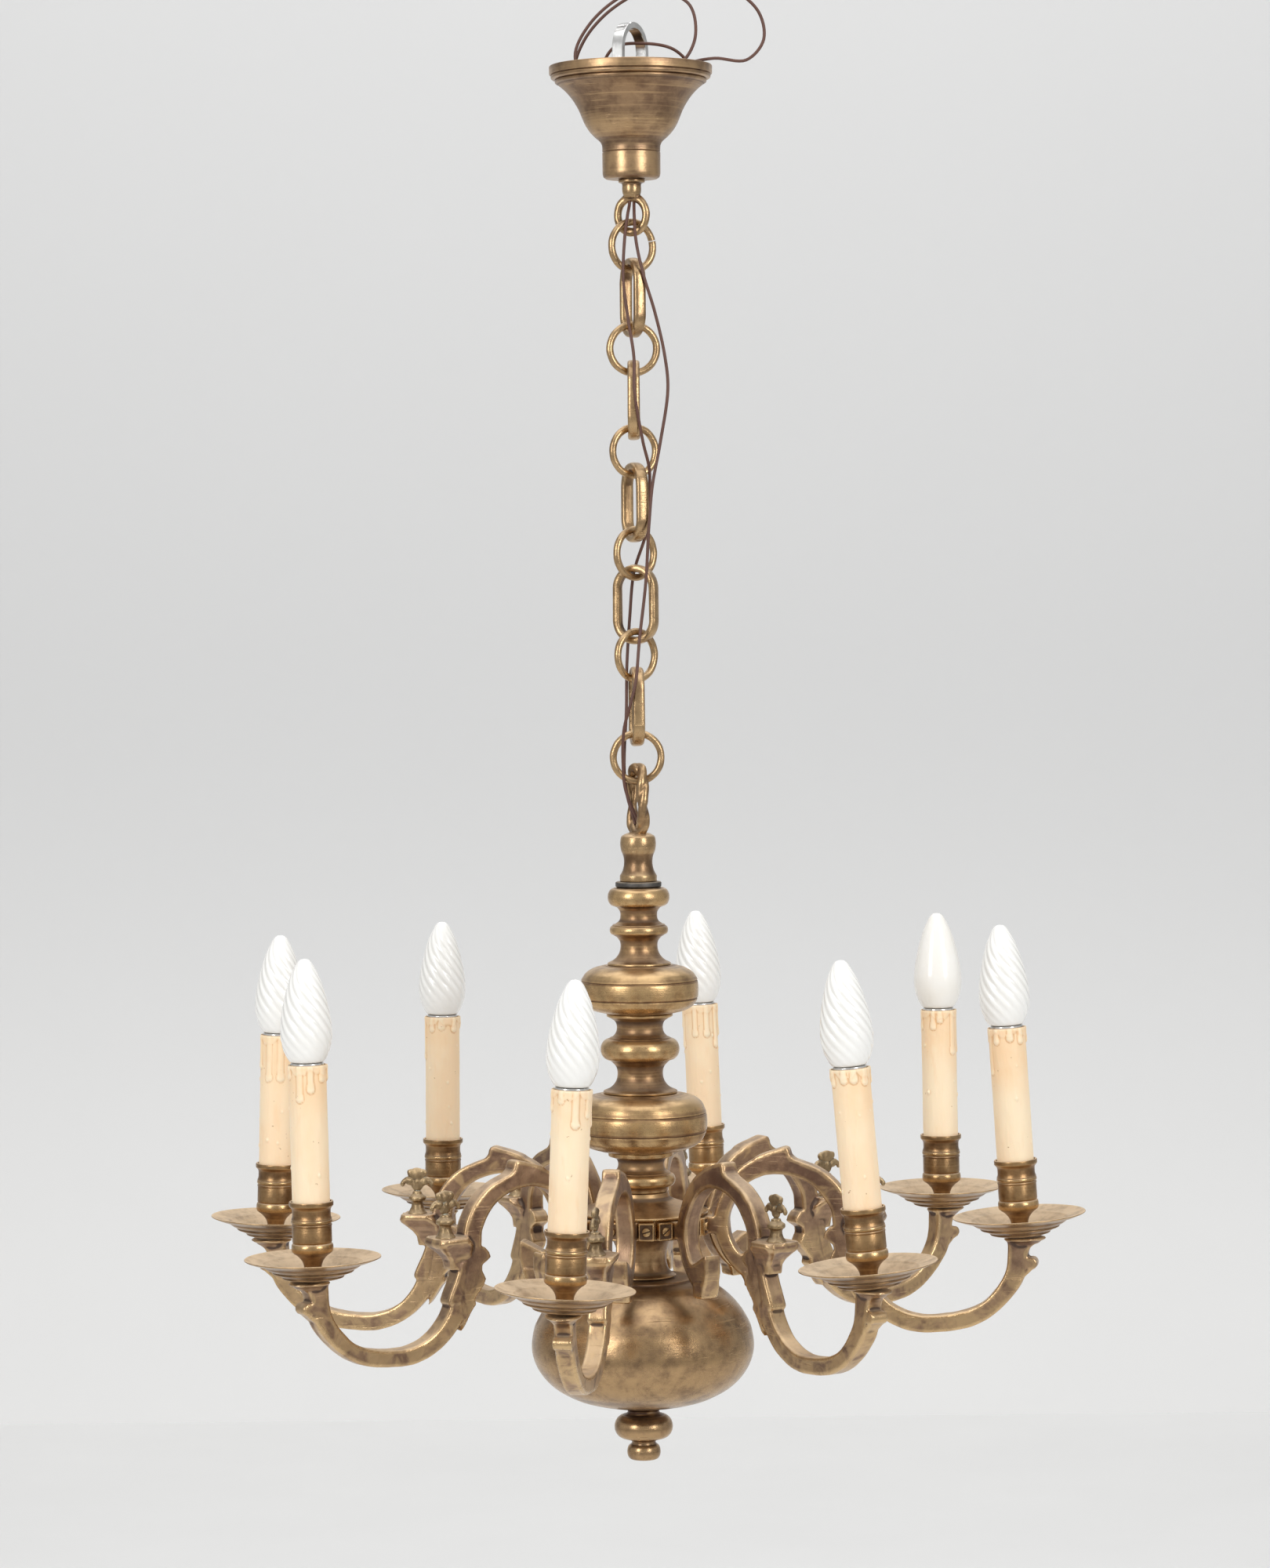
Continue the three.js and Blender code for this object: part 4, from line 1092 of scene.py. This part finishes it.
def bulb_shape(number):
    """A flame-shaped glass, spirally fluted except on the odd plain one."""
    profile = flow([(0, 213.4), (2.6, 212.9), (4.6, 211.2), (7.2, 206.8), (10.2, 200.2), (13.2, 190.6),
                    (15.5, 180.6),
                    (16.9, 171.6), (17.35, 164.6), (16.8, 158), (15.2, 152), (13.2, 147.6), (11.7, 145.4)],
                    8)
    shape = turned([*profile, (10.6, 144.7), (6.4, 144.5), (0, 144.5)], 168, 0.3)
    if number == PLAIN_BULB:
        return shape
    flutes, twist = 14, 3.4
    for vert in shape.verts:
        radius, height = math.hypot(vert.co.x, vert.co.y), vert.co.z
        if height < 146 or radius < 1:
            continue
        share = (height - 146) / 67.4
        depth = 0.62 * math.sin(math.pi * min(1, share * 1.01)) ** 0.6 * min(1, radius / 9)
        wave = math.cos(flutes * math.atan2(vert.co.y, vert.co.x) + flutes * twist * share)
        scale = 1 - depth * (0.5 - 0.5 * abs(wave) ** 0.55 * math.copysign(1, wave)) / radius
        vert.co.x *= scale
        vert.co.y *= scale
    return shape


def cap_profile():
    """The bulb's screw cap: a rolled thread, a waist and the button contact."""
    thread = []
    for k in range(6):
        thread += [(6.9, 138.4 - k * 2.6), (6.35, 137.1 - k * 2.6)]
    return [(0, 144.4), (10.7, 144.4), (11.2, 143.9), (11.2, 141.6), (8.8, 141), (6.9, 140.2), *thread,
            (6.2, 122), (4.6, 119.6),
            (2.6, 118.4), (2.4, 116), (0, 115.4)]


def make_candles():
    for number in ARMS:
        spot = candle_matrix(number - 1)
        piece(f"cup_and_pan_{number}", placed(turned(CUP, 112, 0.3), spot), cup_brass,
              "chandelier",
              [f"candle_cup_{number}"])
        piece(f"lampholder_{number}", placed(turned(LAMPHOLDER, 40), spot), dark_plastic,
              "chandelier")
        piece(f"candle_sleeve_{number}", placed(sleeve_shape(number), spot), candle_wax,
              "chandelier",
              [f"sleeve_{number}"], crease=60)
        glass = plain_glass if number == PLAIN_BULB else opal_glass
        piece(f"flame_{number}", placed(bulb_shape(number), spot), glass, f"bulb_{number}",
              [f"bulb_{number}"], crease=60)
        piece(f"screw_cap_{number}", placed(turned(cap_profile(), 48, 0.3), spot), bright_steel,
              f"bulb_{number}")


# ---- Studio -------------------------------------------------------------------------------------

def make_stage():
    for name, size, place, turn, finish in (
        ("floor", (30, 20), (0, -4.4, -1.977), 0, plain_finish("floor_paint", (0.76, 0.76, 0.755),
                                                               (0.80, 0.80, 0.795))),
        ("wall", (30, 14), (0, 5.6, 5.0), math.pi / 2, wall_with_painted_light()),
    ):
        sheet = bmesh.new()
        bmesh.ops.create_grid(sheet, x_segments=1, y_segments=1, size=0.5)
        bmesh.ops.scale(sheet, vec=(*size, 1), verts=sheet.verts)
        placed(sheet, Matrix.Translation(place) @ Matrix.Rotation(turn, 4, "X"))
        mesh = bpy.data.meshes.new(name)
        sheet.to_mesh(mesh)
        sheet.free()
        mesh.materials.append(finish)
        made = bpy.data.objects.new(name, mesh)
        bpy.context.scene.collection.objects.link(made)


def add_light(name, place, target, size, power, colour=(1, 1, 1)):
    lamp = bpy.data.lights.new(name, "AREA")
    lamp.shape = "RECTANGLE"
    lamp.size, lamp.size_y = size
    lamp.energy = power
    lamp.color = colour
    light = bpy.data.objects.new(name, lamp)
    bpy.context.scene.collection.objects.link(light)
    aim = (Vector(target) - Vector(place)).to_track_quat("-Z", "Y")
    light.matrix_world = Matrix.Translation(place) @ aim.to_matrix().to_4x4()


def light_scene():
    add_light("left_softbox", (-1.7, -2.0, 0.3), (0, 0, -0.6), (0.8, 1.6), 26)
    add_light("right_softbox", (1.7, -2.0, 0.3), (0, 0, -0.6), (0.8, 1.6), 26)
    add_light("overhead", (0, -0.4, 1.9), (0, 0.2, -1), (3, 2.4), 30)
    add_light("wall_wash", (0, 2.6, 3.4), (0, 5.6, -0.6), (6, 1.4), 130)
    world = bpy.data.worlds.new("studio")
    world.use_nodes = True
    world.node_tree.nodes["Background"].inputs["Color"].default_value = (0.99, 0.985, 0.98, 1)
    world.node_tree.nodes["Background"].inputs["Strength"].default_value = 0.60
    bpy.context.scene.world = world
    bpy.context.scene.view_settings.view_transform = "Standard"


set_camera()
lay_flex("a", FLEX_A)
lay_flex("b", FLEX_B)
make_canopy()
make_hanging_loop()
make_canopy_link()
make_terminal_block()
make_chain()
make_twisted_loop()
make_column()
make_hub()
make_arms()
make_candles()
make_stage()
light_scene()
